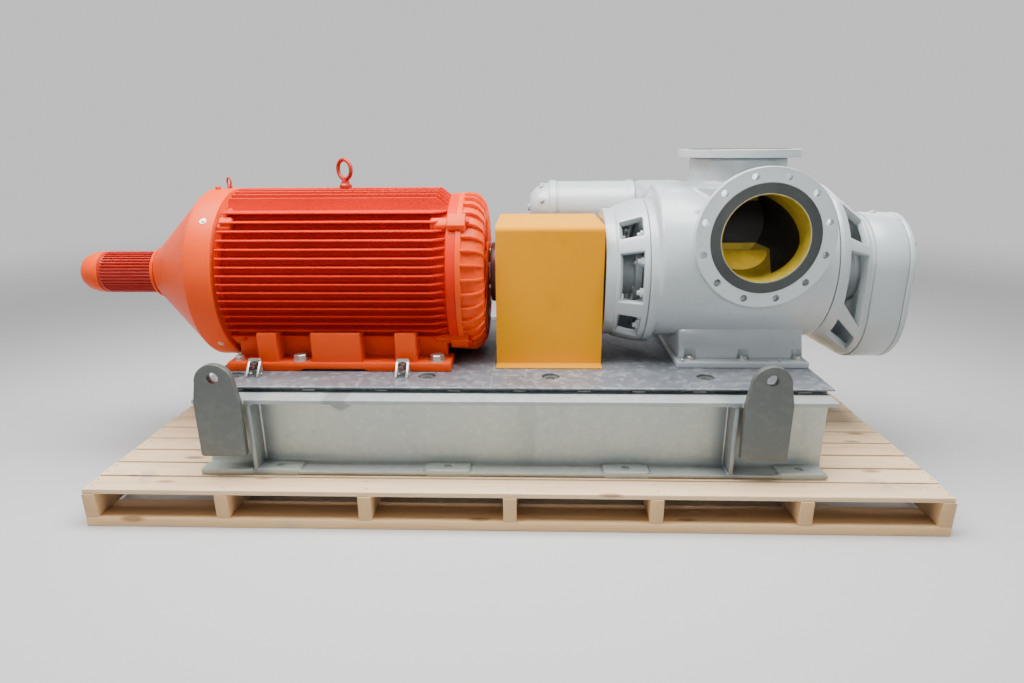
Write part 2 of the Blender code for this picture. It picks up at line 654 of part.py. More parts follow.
def make_brackets():
    bore = PUMP_SHAFT_RADIUS + SHAFT_FIT
    right = CASING_LEFT - GAP
    inner_disc = BRACKET_DISC_RADIUS - BRACKET_WALL
    inner_casing = CASING_RADIUS - BRACKET_WALL
    rings = [ring_points(BRACKET_LEFT, BRACKET_DISC_RADIUS, AXIS_Z),
             ring_points(BRACKET_DISC_RIGHT, BRACKET_DISC_RADIUS, AXIS_Z),
             ring_points(0.455, CASING_RIM_RADIUS - 0.004, CASING_RIM_Z - 0.001),
             ring_points(right, CASING_RIM_RADIUS, CASING_RIM_Z),
             ring_points(right, CASING_RIM_RADIUS - BRACKET_WALL, CASING_RIM_Z),
             ring_points(BRACKET_DISC_RIGHT, inner_disc, AXIS_Z),
             ring_points(BRACKET_DISC_RIGHT, bore, AXIS_Z),
             ring_points(BRACKET_LEFT, bore, AXIS_Z)]
    drive = lofted("drive_end_bracket", rings, PUMP_GREY)
    cut_windows(drive, 0.393, 0.478, 0.795, ((0, 0.175), (41, 0.085), (-43, 0.095)))
    left = CASING_RIGHT + GAP
    right = GEAR_CASE_LEFT - GAP
    small, straight = GEAR_CASE_RADIUS - 0.006, GEAR_CASE_HALF_STRAIGHT
    rings = [ring_points(left, CASING_RADIUS - 0.004, CASING_Z),
             ring_points(left + 0.014, CASING_RADIUS - 0.004, CASING_Z),
             ring_points(right - 0.012, small, GEAR_CASE_Z, straight),
             ring_points(right, small, GEAR_CASE_Z, straight),
             ring_points(right, small - BRACKET_WALL, GEAR_CASE_Z, straight),
             ring_points(left, inner_casing, CASING_Z)]
    gear = lofted("gear_end_bracket", rings, PUMP_GREY)
    cut_windows(gear, 1.205, 1.308, 0.775, ((0, 0.160), (48, 0.120), (-46, 0.085)))


def make_seals():
    centre = (0, 0, AXIS_Z)
    bore = PUMP_SHAFT_RADIUS + SHAFT_FIT
    left, right = BRACKET_DISC_RIGHT + GAP, CASING_LEFT - GAP
    ring = [(left, bore), (left, SEAL_RADIUS), (right, SEAL_RADIUS), (right, bore)]
    turned("drive_seal_housing", ring, "X", centre, PUMP_GREY, MEDIUM)
    cylinder("gear_seal_housing", "X", centre, SEAL_RADIUS + 0.01, CASING_RIGHT + GAP, GEAR_CASE_LEFT - GAP,
             PUMP_GREY, MEDIUM)


def make_gear_case():
    radius, straight = GEAR_CASE_RADIUS, GEAR_CASE_HALF_STRAIGHT
    rings = [ring_points(GEAR_CASE_LEFT, radius, GEAR_CASE_Z, straight),
             ring_points(GEAR_COVER_LEFT - GAP, radius, GEAR_CASE_Z, straight)]
    lofted("gear_case", rings, PUMP_GREY, closed_round=False)
    rings = [ring_points(GEAR_COVER_LEFT, radius, GEAR_CASE_Z, straight),
             ring_points(GEAR_COVER_RIGHT - 0.006, radius, GEAR_CASE_Z, straight),
             ring_points(GEAR_COVER_RIGHT, radius - 0.006, GEAR_CASE_Z, straight)]
    lofted("gear_case_cover", rings, PUMP_GREY, closed_round=False)


def make_relief_valve():
    centre = (0, RELIEF_Y, RELIEF_Z)
    cylinder("relief_valve", "X", centre, RELIEF_RADIUS, RELIEF_LEFT + GAP, RELIEF_RIGHT, PUMP_GREY)
    cap = [(RELIEF_CAP_LEFT, 0), (RELIEF_CAP_LEFT, 0.062), (RELIEF_CAP_LEFT + 0.03, 0.092),
           (RELIEF_LEFT - 0.030, RELIEF_RADIUS + 0.004), (RELIEF_LEFT, RELIEF_RADIUS + 0.004),
           (RELIEF_LEFT, 0)]
    turned("relief_valve_cap", cap, "X", centre, PUMP_GREY)


def make_pump_foot():
    (left, front), (right, rear) = PUMP_FOOT
    bottom = PLATE_TOP + GAP
    top = bottom + PUMP_FOOT_THICKNESS
    foot = box("pump_foot", (left, front, bottom), (right, rear, top), PUMP_GREY)
    slope = [(-0.225, top - 0.004), (0.225, top - 0.004), (0.175, 0.62), (-0.175, 0.62)]
    join(foot, extruded("pump_foot_riser", slope, "X", left + 0.012, right - 0.009))
    cut(foot, cylinder("pump_foot_saddle", "X", (0, 0, CASING_Z), CASING_RADIUS + GAP, 0.3, 1.4))


def build():
    clear_scene()
    make_pallet()
    make_beam("beam_front", -1)
    make_beam("beam_rear", 1)
    make_cross_members()
    make_top_plate()
    make_lugs()
    make_motor_frame()
    make_motor_ends()
    make_fan_motor()
    make_eyebolt("motor_eyebolt", EYEBOLT_X, AXIS_Z + FIN_RADIUS + GAP, EYEBOLT_RING_Z, 1.0)
    make_eyebolt("rear_eyebolt", REAR_EYEBOLT_X, AXIS_Z + COWL_RADIUS + GAP, REAR_EYEBOLT_RING_Z,
                 REAR_EYEBOLT_SCALE)
    make_terminal_box()
    make_drive_train()
    make_guard()
    make_casing()
    make_flanges()
    make_brackets()
    make_seals()
    make_gear_case()
    make_relief_valve()
    make_pump_foot()


build()
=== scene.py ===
# %% [markdown]
# # A twin-screw pump unit on its shipping pallet
# The real machine is a red electric motor and a grey screw pump on one steel skid. A yellow guard covers
# the coupling between them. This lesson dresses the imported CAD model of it, one piece at a time: boards,
# steel, castings, bolts and paint. Every length is in metres, +X runs along the shaft towards the pump, and
# -Y is the side that the camera sees.

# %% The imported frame
import math
import random

import bmesh
import bpy
from mathutils import Matrix, Vector


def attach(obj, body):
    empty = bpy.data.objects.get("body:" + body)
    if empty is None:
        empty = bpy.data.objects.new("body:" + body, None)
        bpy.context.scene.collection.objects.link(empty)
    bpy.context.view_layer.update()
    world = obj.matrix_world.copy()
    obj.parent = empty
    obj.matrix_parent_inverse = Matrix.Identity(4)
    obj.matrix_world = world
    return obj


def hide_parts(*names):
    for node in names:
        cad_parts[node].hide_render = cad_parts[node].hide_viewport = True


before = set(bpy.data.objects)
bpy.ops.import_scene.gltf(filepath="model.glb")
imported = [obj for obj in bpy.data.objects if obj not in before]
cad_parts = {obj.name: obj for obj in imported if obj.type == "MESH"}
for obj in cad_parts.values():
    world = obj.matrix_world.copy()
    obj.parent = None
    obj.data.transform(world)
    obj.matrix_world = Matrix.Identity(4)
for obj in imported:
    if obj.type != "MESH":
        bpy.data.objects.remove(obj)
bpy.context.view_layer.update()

UNIT = "unit"
DRIVE_TRAIN = "drive_train"

# %% [markdown]
# ## The camera
# The photograph was taken from beside the guard, a little above the motor, looking down about 17 degrees. Its
# focal length, tilt and place were worked out from the pallet's edges, the beams and the round flange, so the
# camera is built from those angles instead of being aimed by eye.

# %% The camera
FOCAL_PIXELS = 632.3
IMAGE_WIDTH = 1024
SENSOR_WIDTH = 36.0
CAMERA_PLACE = Vector((0.0731, -2.5334, 1.2582))
TILT_DOWN, TURN_LEFT, ROLL = 0.3003, 0.0329, -0.0067

right = Vector((math.cos(TURN_LEFT), math.sin(TURN_LEFT), 0))
ahead = Vector((-math.sin(TURN_LEFT) * math.cos(TILT_DOWN), math.cos(TURN_LEFT) * math.cos(TILT_DOWN),
                -math.sin(TILT_DOWN)))
up = right.cross(ahead)
side = math.cos(ROLL) * right + math.sin(ROLL) * up
top = -math.sin(ROLL) * right + math.cos(ROLL) * up
lens = bpy.data.cameras.new("portrait_lens")
lens.sensor_width = SENSOR_WIDTH
lens.lens = FOCAL_PIXELS * SENSOR_WIDTH / IMAGE_WIDTH
camera = bpy.data.objects.new("portrait_camera", lens)
bpy.context.collection.objects.link(camera)
camera.matrix_world = Matrix.Translation(CAMERA_PLACE) @ Matrix((side, top, -ahead)).transposed().to_4x4()
bpy.context.scene.camera = camera
print("lens of", round(lens.lens, 2), "mm")

# %% [markdown]
# ## Floor and light
# The object stands on a plain pale floor, which fades into a pale horizon so that no edge shows behind it. The
# room is brighter round the horizon than overhead. A large soft light overhead stands in for a workshop roof with rows
# of lamps, which is what draws the long pale gleams on the enamel. Two weaker ones fill the front, so the web
# of the beam and the bottom of the castings don't sink into black.

# %% Floor and light
PALE = (0.52, 0.52, 0.515, 1.0)
ROOM_TONE = (0.212, 0.216, 0.230, 1.0)
HORIZON_TONE = (0.80, 0.80, 0.81, 1.0)


def studio_floor():
    work = bmesh.new()
    bmesh.ops.create_grid(work, x_segments=1, y_segments=1, size=400)
    mesh = bpy.data.meshes.new("studio_floor")
    work.to_mesh(mesh)
    work.free()
    floor = bpy.data.objects.new("studio_floor", mesh)
    bpy.context.collection.objects.link(floor)
    finish = bpy.data.materials.new("studio_floor")
    finish.use_nodes = True
    tree = finish.node_tree
    shader, output = tree.nodes["Principled BSDF"], tree.nodes["Material Output"]
    shader.inputs["Base Color"].default_value = PALE
    shader.inputs["Roughness"].default_value = 0.9
    shader.inputs["Specular IOR Level"].default_value = 0.0
    place = tree.nodes.new("ShaderNodeTexCoord")
    length = tree.nodes.new("ShaderNodeVectorMath")
    length.operation = "LENGTH"
    fade = tree.nodes.new("ShaderNodeMapRange")
    fade.inputs["From Min"].default_value, fade.inputs["From Max"].default_value = 2.2, 9.0
    fade.interpolation_type = "SMOOTHSTEP"
    clear = tree.nodes.new("ShaderNodeBsdfTransparent")
    blend = tree.nodes.new("ShaderNodeMixShader")
    for socket, target in ((place.outputs["Object"], length.inputs[0]), (length.outputs["Value"], fade.inputs[0]),
                           (fade.outputs[0], blend.inputs[0]), (shader.outputs[0], blend.inputs[1]),
                           (clear.outputs[0], blend.inputs[2]), (blend.outputs[0], output.inputs["Surface"])):
        tree.links.new(socket, target)
    mesh.materials.append(finish)


def soft_light(name, place, target, width, depth, power, colour=(1, 1, 1)):
    light = bpy.data.lights.new(name, "AREA")
    light.shape = "RECTANGLE"
    light.size, light.size_y = width, depth
    light.energy = power
    light.color = colour
    lamp = bpy.data.objects.new(name, light)
    lamp.location = place
    lamp.rotation_euler = (Vector(target) - Vector(place)).to_track_quat("-Z", "Y").to_euler()
    bpy.context.collection.objects.link(lamp)


def pale_room():
    world = bpy.data.worlds.new("pale_room")
    world.use_nodes = True
    tree = world.node_tree
    place = tree.nodes.new("ShaderNodeTexCoord")
    parts = tree.nodes.new("ShaderNodeSeparateXYZ")
    climb = tree.nodes.new("ShaderNodeMapRange")
    climb.interpolation_type = "SMOOTHSTEP"
    climb.inputs["From Min"].default_value, climb.inputs["From Max"].default_value = 0.18, 0.52
    tone = tree.nodes.new("ShaderNodeMix")
    tone.data_type = "RGBA"
    low, high = [socket for socket in tone.inputs if socket.type == "RGBA"]
    low.default_value, high.default_value = HORIZON_TONE, ROOM_TONE
    result = [socket for socket in tone.outputs if socket.type == "RGBA"][0]
    for socket, target in ((place.outputs["Generated"], parts.inputs[0]), (parts.outputs["Z"], climb.inputs[0]),
                           (climb.outputs[0], tone.inputs[0]),
                           (result, tree.nodes["Background"].inputs["Color"])):
        tree.links.new(socket, target)
    bpy.context.scene.world = world


studio_floor()
pale_room()
soft_light("roof_light", (-0.2, -0.35, 3.2), (-0.2, -0.2, 0.4), 4.8, 1.7, 430)
soft_light("front_light", (-2.6, -4.2, 2.0), (0, 0, 0.6), 2.0, 1.4, 12)
soft_light("bore_light", (0.30, -2.9, 1.75), (0.90, -0.1, 0.90), 0.35, 0.35, 0.42)
bpy.data.lights["bore_light"].spread = math.radians(16)
soft_light("far_light", (3.0, 3.2, 2.4), (0, 0, 0.7), 2.2, 1.6, 25)

# %% [markdown]
# ## A small language for materials
# Node trees are long to write out by hand. Here one class wraps a socket, so that Python's own signs add Math
# nodes, and another class makes any other node in one call. A finish is then a few lines of sums. Every pattern
# reads the object's own coordinates, so it has the same size on all pieces and stays on them as they move.


# %% Wires and recipes
class Wire:
    """A number or colour on its way between two nodes."""

    def __init__(self, recipe, socket):
        self.recipe = recipe
        self.socket = socket

    def worked(self, operation, *values):
        return self.recipe.node("Math", {"operation": operation}, dict(enumerate(values)))

    def __add__(self, other):
        return self.worked("ADD", self, other)

    def __sub__(self, other):
        return self.worked("SUBTRACT", self, other)

    def __rsub__(self, other):
        return self.worked("SUBTRACT", other, self)

    def __mul__(self, other):
        return self.worked("MULTIPLY", self, other)

    def __truediv__(self, other):
        return self.worked("DIVIDE", self, other)

    def __rtruediv__(self, other):
        return self.worked("DIVIDE", other, self)

    def __pow__(self, other):
        return self.worked("POWER", self, other)

    __radd__ = __add__
    __rmul__ = __mul__

    def floor(self):
        return self.worked("FLOOR", self)

    def size(self):
        return self.worked("ABSOLUTE", self)

    def between(self, low, high):
        """0 below low, 1 above high and smooth in between."""
        return self.recipe.node("MapRange", {"interpolation_type": "SMOOTHSTEP"},
                                {"Value": self, "From Min": low, "From Max": high})


class Recipe:
    """One finish: its node tree and the material slot of the record that it belongs to."""

    def __init__(self, name, slot):
        self.slot = slot
        self.material = bpy.data.materials.new(name)
        self.material.use_nodes = True
        self.tree = self.material.node_tree
        self.tree.nodes.clear()
        self.place = self.node("TexCoord", out="Object")
        self.facing = self.node("NewGeometry", out="Normal")

    @staticmethod
    def socket(sockets, key):
        open_ones = [socket for socket in sockets if socket.enabled]
        return open_ones[key] if isinstance(key, int) else next(s for s in open_ones if s.name == key)

    def feed(self, socket, value):
        if isinstance(value, Wire):
            self.tree.links.new(value.socket, socket)
        elif isinstance(value, tuple) and socket.type == "RGBA":
            socket.default_value = (*value, 1.0)
        else:
            socket.default_value = value

    def node(self, kind, settings=None, inputs=None, out=0):
        made = self.tree.nodes.new("ShaderNode" + kind)
        for key, value in (settings or {}).items():
            setattr(made, key, value)
        for key, value in (inputs or {}).items():
            self.feed(self.socket(made.inputs, key), value)
        return Wire(self, self.socket(made.outputs, out))

    def noise(self, scale, detail=3.0, place=None, roughness=0.5, distortion=0.0):
        return self.node("TexNoise", None, {"Vector": place or self.place, "Scale": scale, "Detail": detail,
                                            "Roughness": roughness, "Distortion": distortion})

    def cells(self, scale, place=None, out="Distance", feature="F1"):
        return self.node("TexVoronoi", {"feature": feature}, {"Vector": place or self.place, "Scale": scale}, out)

    def mix(self, first, second, amount, how="MIX"):
        return self.node("Mix", {"data_type": "RGBA", "blend_type": how},
                         {"Factor": amount, "A": first, "B": second})

    def split(self, vector):
        return [self.node("SeparateXYZ", None, {"Vector": vector}, axis) for axis in "XYZ"]

    def join(self, x, y, z):
        return self.node("CombineXYZ", None, {"X": x, "Y": y, "Z": z})

    def stretched(self, x, y, z):
        return self.node("Mapping", None, {"Vector": self.place, "Scale": (x, y, z)})

    def bump(self, height, strength, depth, below=None):
        inputs = {"Strength": strength, "Distance": depth, "Height": height}
        if below is not None:
            inputs["Normal"] = below
        return self.node("Bump", None, inputs)

    def finish(self, colour, roughness, metallic=0.0, normal=None, coat=0.0, specular=0.5):
        shader = self.node("BsdfPrincipled", None, {
            "Base Color": colour, "Roughness": roughness, "Metallic": metallic, "Coat Weight": coat,
            "Coat Roughness": 0.12, "Specular IOR Level": specular})
        if normal is not None:
            self.feed(shader.socket.node.inputs["Normal"], normal)
        self.end(shader)
        return self

    def end(self, shader):
        output = self.tree.nodes.new("ShaderNodeOutputMaterial")
        self.tree.links.new(shader.socket, output.inputs["Surface"])


FINISHES = {}

# %% [markdown]
# ## Enamel on castings and sheet
# The motor, the guard and the pump are sprayed with thick machine enamel. Under it a casting is a little
# grainy, and sheet is smooth with orange peel. The colour drifts by a few percent, dust settles on what faces
# up, and grime gathers in broad faint clouds.


# %% Enamel
def enamel(name, slot, colour, shade, gloss=0.26, grain=0.0, dust=0.03, coat=0.1, specular=0.28):
    recipe = Recipe(name, slot)
    clouds = recipe.noise(2.6, 4.0)
    speckle = recipe.noise(46.0, 4.0)
    base = recipe.mix(colour, shade, clouds.between(0.36, 0.74) * 0.45)
    grime = recipe.noise(7.0, 6.0, roughness=0.65).between(0.54, 0.80) * 0.28
    base = recipe.mix(base, tuple(0.45 * part for part in colour), grime)
    upward = recipe.split(recipe.facing)[2].between(0.55, 0.98)
    base = recipe.mix(base, (0.62, 0.60, 0.56), upward * speckle.between(0.30, 0.75) * dust)
    roughness = gloss + speckle * 0.10 + grime * 0.5 + upward * dust * 0.9
    peel = recipe.bump(recipe.noise(260.0, 2.0), 0.10, 0.0006)
    if grain:
        peel = recipe.bump(recipe.noise(85.0, 5.0, roughness=0.62), grain, 0.0016, peel)
    FINISHES[name] = recipe.finish(base, roughness, normal=peel, coat=coat, specular=specular)


enamel("motor_red", "motor_red", (0.66, 0.018, 0.001), (0.55, 0.013, 0.001), gloss=0.34, grain=0.05, dust=0.0,
       coat=0.0, specular=0.10)
enamel("motor_orange", "motor_orange", (0.76, 0.066, 0.004), (0.64, 0.048, 0.003), gloss=0.32, dust=0.01, coat=0.0,
       specular=0.14)
enamel("fan_motor_red", "fan_motor_red", (0.40, 0.015, 0.007), (0.34, 0.012, 0.005), gloss=0.30)
enamel("guard_yellow", "guard_yellow", (0.66, 0.270, 0.0), (0.62, 0.248, 0.0), gloss=0.38, dust=0.0, coat=0.0,
       specular=0.02)
enamel("pump_grey", "pump_grey", (0.41, 0.455, 0.468), (0.355, 0.397, 0.40), gloss=0.24, grain=0.35, coat=0.3,
       specular=0.5)
print("enamels:", ", ".join(FINISHES))

# %% [markdown]
# ## Galvanised steel
# The skid was dipped in zinc. Fresh zinc is a pale satin grey with a faint crystal pattern, clouded where it
# ran off, and with a blue or a greenish cast in places. Voronoi cells give the crystals, and noise the clouds.
# On the beams' web, shade is painted in: darker under the top flange and over the bottom flange, partly stain,
# and beside the stiffeners.


# %% Galvanised steel
def zinc_dipped(name, slot, colour, cast, metallic=0.55, roughness=0.42, stain=0.5, spangle=0.16,
                runs=0.0):
    recipe = Recipe(name, slot)
    crystals = recipe.cells(55.0, out="Color")
    crystal = recipe.split(crystals)[0]
    clouds = recipe.noise(3.2, 5.0, roughness=0.55)
    streaks = recipe.noise(5.0, 4.0, recipe.stretched(1.6, 1.6, 0.35))
    base = recipe.mix(colour, cast, clouds.between(0.38, 0.68))
    base = recipe.mix(base, tuple(0.50 * part for part in colour), streaks.between(0.52, 0.78) * stain * 0.55)
    base = recipe.mix(base, (0.80, 0.82, 0.83), crystal.between(0.55, 1.0) * spangle)
    marks = recipe.noise(24.0, 6.0, roughness=0.7).between(0.60, 0.74)
    base = recipe.mix(base, (0.30, 0.29, 0.27), marks * stain * 0.40)
    # Painted shade on the web: darker just under the top flange and just over the bottom flange, partly stain, and
    # darker beside the two stiffeners. Also a dark triangular smudge.
    if runs:
        x, y, z = recipe.split(recipe.place)
        wander = clouds * 0.05
        below = 1.0 - (0.398 - z + wander).between(0.01, 0.045)
        above = 1.0 - (z - 0.172 + wander).between(0.02, 0.055)
        ribs = [1.0 - (x - middle).size().between(0.008, 0.075) for middle in (-0.905, 0.765)]
        # Painted shade under the top flange and over the bottom flange, partly stain.
        base = recipe.mix(base, (0.24, 0.27, 0.28), (below + above * 0.6) * runs * 0.5)
        # Painted shade beside the stiffeners.
        base = recipe.mix(base, (0.20, 0.23, 0.25), (ribs[0] + ribs[1]) * runs * 0.75)
        # A dark triangular smudge on the web.
        spot = 1.0 - (z + (x + 0.606).size() * 0.55 * -1.0).between(0.350, 0.366)
        dark_smudge = (1.0 - spot) * (1.0 - (x + 0.606).size().between(0.030, 0.050))
        base = recipe.mix(base, (0.22, 0.24, 0.24), dark_smudge * runs * 0.8)
    rough = roughness + crystal * 0.75 * spangle + marks * 0.2
    skin = recipe.bump(recipe.noise(120.0, 4.0), 0.18, 0.0008)
    skin = recipe.bump(clouds, 0.25, 0.006, skin)
    FINISHES[name] = recipe.finish(base, rough, metallic=metallic, normal=skin)


# runs=1.0 turns on the web's painted shade and its dark smudge.
zinc_dipped("galvanised_web", "galvanised_steel", (0.485, 0.522, 0.448), (0.44, 0.48, 0.46), 0.35, stain=0.7, runs=1.0)
zinc_dipped("galvanised_plate", "galvanised_plate", (0.210, 0.224, 0.248), (0.180, 0.196, 0.223), 0.55, 0.38)
zinc_dipped("lug_steel", "lug_steel", (0.108, 0.117, 0.106), (0.100, 0.110, 0.100), 0.35, 0.42, 0.12, 0.02)
zinc_dipped("weld", "galvanised_steel", (0.40, 0.42, 0.40), (0.30, 0.31, 0.30), 0.6, 0.38, 0.7)
zinc_dipped("zinc_hardware", "zinc_hardware", (0.60, 0.60, 0.55), (0.48, 0.47, 0.42), 0.85, 0.30, 0.35)

# %% [markdown]
# ## Bare metal, rubber and primer
# Sealing faces and shafts are turned bright, then oiled. Hubs are dark and brownish. The bore of the pump has
# yellow primer, with painted shade that turns it near black deep inside, near the shaft's axis and with depth.
# The rotor housing in the bore has the same primer, painted brighter as painted light.


# %% Bare metal, rubber and primer
def bare(name, slot, colour, tarnish, roughness=0.3, metallic=0.9):
    recipe = Recipe(name, slot)
    patches = recipe.noise(9.0, 5.0, roughness=0.6)
    fine = recipe.noise(90.0, 3.0)
    base = recipe.mix(colour, tarnish, patches.between(0.40, 0.70))
    FINISHES[name] = recipe.finish(base, roughness + fine * 0.15, metallic=metallic,
                                   normal=recipe.bump(fine, 0.12, 0.0005))


bare("machined_steel", "machined_steel", (0.042, 0.048, 0.046), (0.032, 0.037, 0.034), 0.42, 0.35)
bare("bright_steel", "bright_steel", (0.55, 0.55, 0.53), (0.40, 0.37, 0.33), 0.22)
bare("dark_steel", "dark_steel", (0.17, 0.085, 0.075), (0.09, 0.05, 0.045), 0.34, 0.6)
bare("black_rubber", "black_rubber", (0.022, 0.022, 0.022), (0.035, 0.033, 0.031), 0.65, 0.0)


def primer(name, colour, reach, depth=(0.4, 0.5)):
    """Yellow beside the housing and further than reach from the shaft's axis; nearer the axis, painted shade makes it
    near black, and more painted shade darkens it with depth along Y.
    """
    recipe = Recipe(name, "bore_yellow")
    x, y, z = recipe.split(recipe.place)
    blotch = recipe.noise(14.0, 5.0, roughness=0.6)
    yellow = recipe.mix(colour, tuple(0.72 * part for part in colour), blotch.between(0.42, 0.72))
    # Painted shade: near black nearer the shaft's axis than reach, deep in the bore, except on a patch of its floor.
    away = (y * y + (z - 0.771) * (z - 0.771)) ** 0.5 - z.worked("MINIMUM", z - 0.813, 0.112) * 0.42
    deep_shade = 1.0 - (away + blotch * 0.004).between(reach, reach + 0.004)
    floor = (1.0 - (x - y * 0.30).between(1.0105, 1.0125)) * (1.0 - z.between(0.865, 0.868))
    deep_shade = deep_shade * (1.0 - floor)
    base = recipe.mix(yellow, (0.010, 0.009, 0.007), deep_shade)
    # Painted shade: darker with depth along Y, into the bore.
    base = recipe.mix(base, (0.010, 0.009, 0.007), y.between(*depth))
    FINISHES[name] = recipe.finish(base, 0.42 + blotch * 0.2, normal=recipe.bump(blotch, 0.2, 0.001), coat=0.1,
                                   specular=0.3)


# The wall and the housing carry one primer in two copies; the housing's is painted about twice as bright, as painted
# light.
primer("bore_yellow", (0.40, 0.29, 0.024), 0.250)
primer("housing_yellow_lit", (0.80, 0.53, 0.045), -0.01, (0.06, 0.20))

# %% [markdown]
# ## Sawn pine
# A pallet is rough-sawn softwood. Seen close, each board has long grain, darker late wood in bands, knots and
# its own tone, and its end grain is darker. The pattern is stretched along the board. A number made from the
# board's place shifts the pattern and the tone, so that no two boards match. Under the deck, painted shade
# darkens the bearers and bottom boards inwards from the pallet's front and back edges.


# %% Sawn pine
def pine(name, along, pitch, tone=0.0, amber=0.0):
    recipe = Recipe(name, "pine")
    x, y, z = recipe.split(recipe.place)
    run, across = (x, y) if along == "X" else (y, x)
    number = (across / pitch + 0.5).floor()
    chance = recipe.node("TexWhiteNoise", {"noise_dimensions": "1D"}, {"W": number})
    place = recipe.join(run * 1.1 + chance * 9.0, across * 21.0, z * 21.0)
    sway = recipe.noise(0.8, 2.0, place)
    bands = recipe.noise(1.5, 5.0, place, 0.6, 0.9)
    fibres = recipe.noise(9.0, 4.0, recipe.join(run * 2.5 + chance * 3.0, across * 60.0, z * 60.0))
    light, dark = (0.84, 0.60, 0.36), (0.62, 0.37, 0.16)
    base = recipe.mix(light, dark, (bands * 0.75 + sway * 0.25).between(0.42, 0.68) * 0.62)
    base = recipe.mix(base, (0.72, 0.50, 0.30), fibres.between(0.4, 0.7) * 0.25)
    base = recipe.mix(base, (0.90, 0.74, 0.50), chance * 0.42)
    base = recipe.mix(base, (0.42, 0.26, 0.13), (chance * 7.31 - (chance * 7.31).floor()) * (0.20 + tone))
    base = recipe.mix(base, (0.74, 0.43, 0.17), amber)
    knots = recipe.cells(1.0, recipe.join(run * 3.1 + chance * 31.0, across * 10.0, z * 10.0))
    knot = 1.0 - knots.between(0.07, 0.17)
    base = recipe.mix(base, (0.25, 0.12, 0.05), knot * 0.75)
    dirt = recipe.noise(3.5, 6.0, roughness=0.65).between(0.52, 0.78)
    base = recipe.mix(base, (0.40, 0.36, 0.31), dirt * 0.42)
    if name == "pine_deck":
        corner = (x.size() - 1.32).size().between(0.0, 0.16)
        patch = (1.0 - corner) * (1.0 - (y + 0.57).size().between(0.0, 0.09))
        scuffs = recipe.noise(16.0, 5.0, roughness=0.7).between(0.46, 0.60)
        base = recipe.mix(base, (0.30, 0.24, 0.25), patch * scuffs * 0.55)
    else:
        # Painted shade under the deck: bearers and bottom boards darken inwards from the pallet's front and back
        # edges.
        base = recipe.mix(base, (0.20, 0.13, 0.08), (0.657 - y.size()).between(0.0, 0.06) * 0.78)
    toward = recipe.split(recipe.facing)[0 if along == "X" else 1].size()
    base = recipe.mix(base, (0.47, 0.31, 0.17), toward.between(0.6, 0.95) * 0.55)
    normal = recipe.bump(fibres, 0.45, 0.0012)
    normal = recipe.bump(bands, 0.25, 0.0015, normal)
    FINISHES[name] = recipe.finish(base, 0.78 - bands * 0.12, normal=normal, specular=0.3)


DECK_PITCH = 1.325 / 13
pine("pine_deck", "X", DECK_PITCH)
pine("pine_bearer", "Y", 0.495, 0.25, 0.6)
pine("pine_bottom", "X", 0.6025, 0.2, 0.45)
print(len(FINISHES), "finishes")

# %% [markdown]
# ## Shapes made once, stamped many times
# A machine has hundreds of bolts but only a few kinds. Each kind is made once as a closed mesh, then stamped
# wherever it sits. The makers below start from one of bmesh's own shapes and use its tools: bevel for worn
# edges, spin for anything turned on a lathe, and extrude for plate that was cut to an outline.

# %% Makers of closed shapes
EDGE = 0.002
SHARP = math.radians(28)


def shape(work):
    """Turns a finished bmesh into a mesh whose faces point outwards."""
    bmesh.ops.recalc_face_normals(work, faces=work.faces)
    mesh = bpy.data.meshes.new("shape")
    work.to_mesh(mesh)
    work.free()
    return mesh


def soften(work, width, segments=2):
    """Rounds every sharp edge."""
    sharp = [edge for edge in work.edges if edge.calc_face_angle(0) > SHARP]
    bmesh.ops.bevel(work, geom=sharp, offset=width, offset_type="OFFSET", segments=segments, profile=0.5,
                    affect="EDGES", clamp_overlap=True, material=-1)


def block(low, high, edge=EDGE, segments=2):
    work = bmesh.new()
    low, high = Vector(low), Vector(high)
    bmesh.ops.create_cube(work, size=1, matrix=Matrix.Translation((low + high) / 2)
                          @ Matrix.Diagonal((*(high - low), 1)))
    if edge:
        soften(work, edge, segments)
    return shape(work)


def drum(profile, axis="X", centre=(0, 0, 0), segments=96, edge=0.0):
    """A profile of (along, radius) spun round an axis. It is a solid where it starts and ends at radius 0."""
    along = Vector({"X": (1, 0, 0), "Y": (0, 1, 0), "Z": (0, 0, 1)}[axis])
    out = Vector((1, 0, 0)) if axis == "Z" else Vector((0, 0, 1))
    work = bmesh.new()
    points = [work.verts.new(along * a + out * r) for a, r in profile]
    edges = [work.edges.new(pair) for pair in zip(points, points[1:])]
    if profile[0][1] > 0:
        edges.append(work.edges.new((points[-1], points[0])))
    bmesh.ops.spin(work, geom=points + edges, cent=(0, 0, 0), axis=along, angle=math.tau, steps=segments,
                   use_merge=True)
    bmesh.ops.remove_doubles(work, verts=work.verts, dist=0.00003)
    bmesh.ops.translate(work, verts=work.verts, vec=centre)
    bmesh.ops.recalc_face_normals(work, faces=work.faces)
    if edge:
        soften(work, edge)
    return shape(work)


def plate(outline, axis, low, high, edge=EDGE):
    """An outline cut from plate: (x, z) points across Y, (y, z) across X or (x, y) across Z."""
    def placed(a, b, along):
        return {"X": (along, a, b), "Y": (a, along, b), "Z": (a, b, along)}[axis]

    work = bmesh.new()
    face = work.faces.new([work.verts.new(placed(a, b, low)) for a, b in outline])
    raised = bmesh.ops.extrude_face_region(work, geom=[face])["geom"]
    moved = [item for item in raised if isinstance(item, bmesh.types.BMVert)]
    bmesh.ops.translate(work, verts=moved, vec=placed(0, 0, high - low))
    bmesh.ops.recalc_face_normals(work, faces=work.faces)
    if edge:
        soften(work, edge)
    return shape(work)


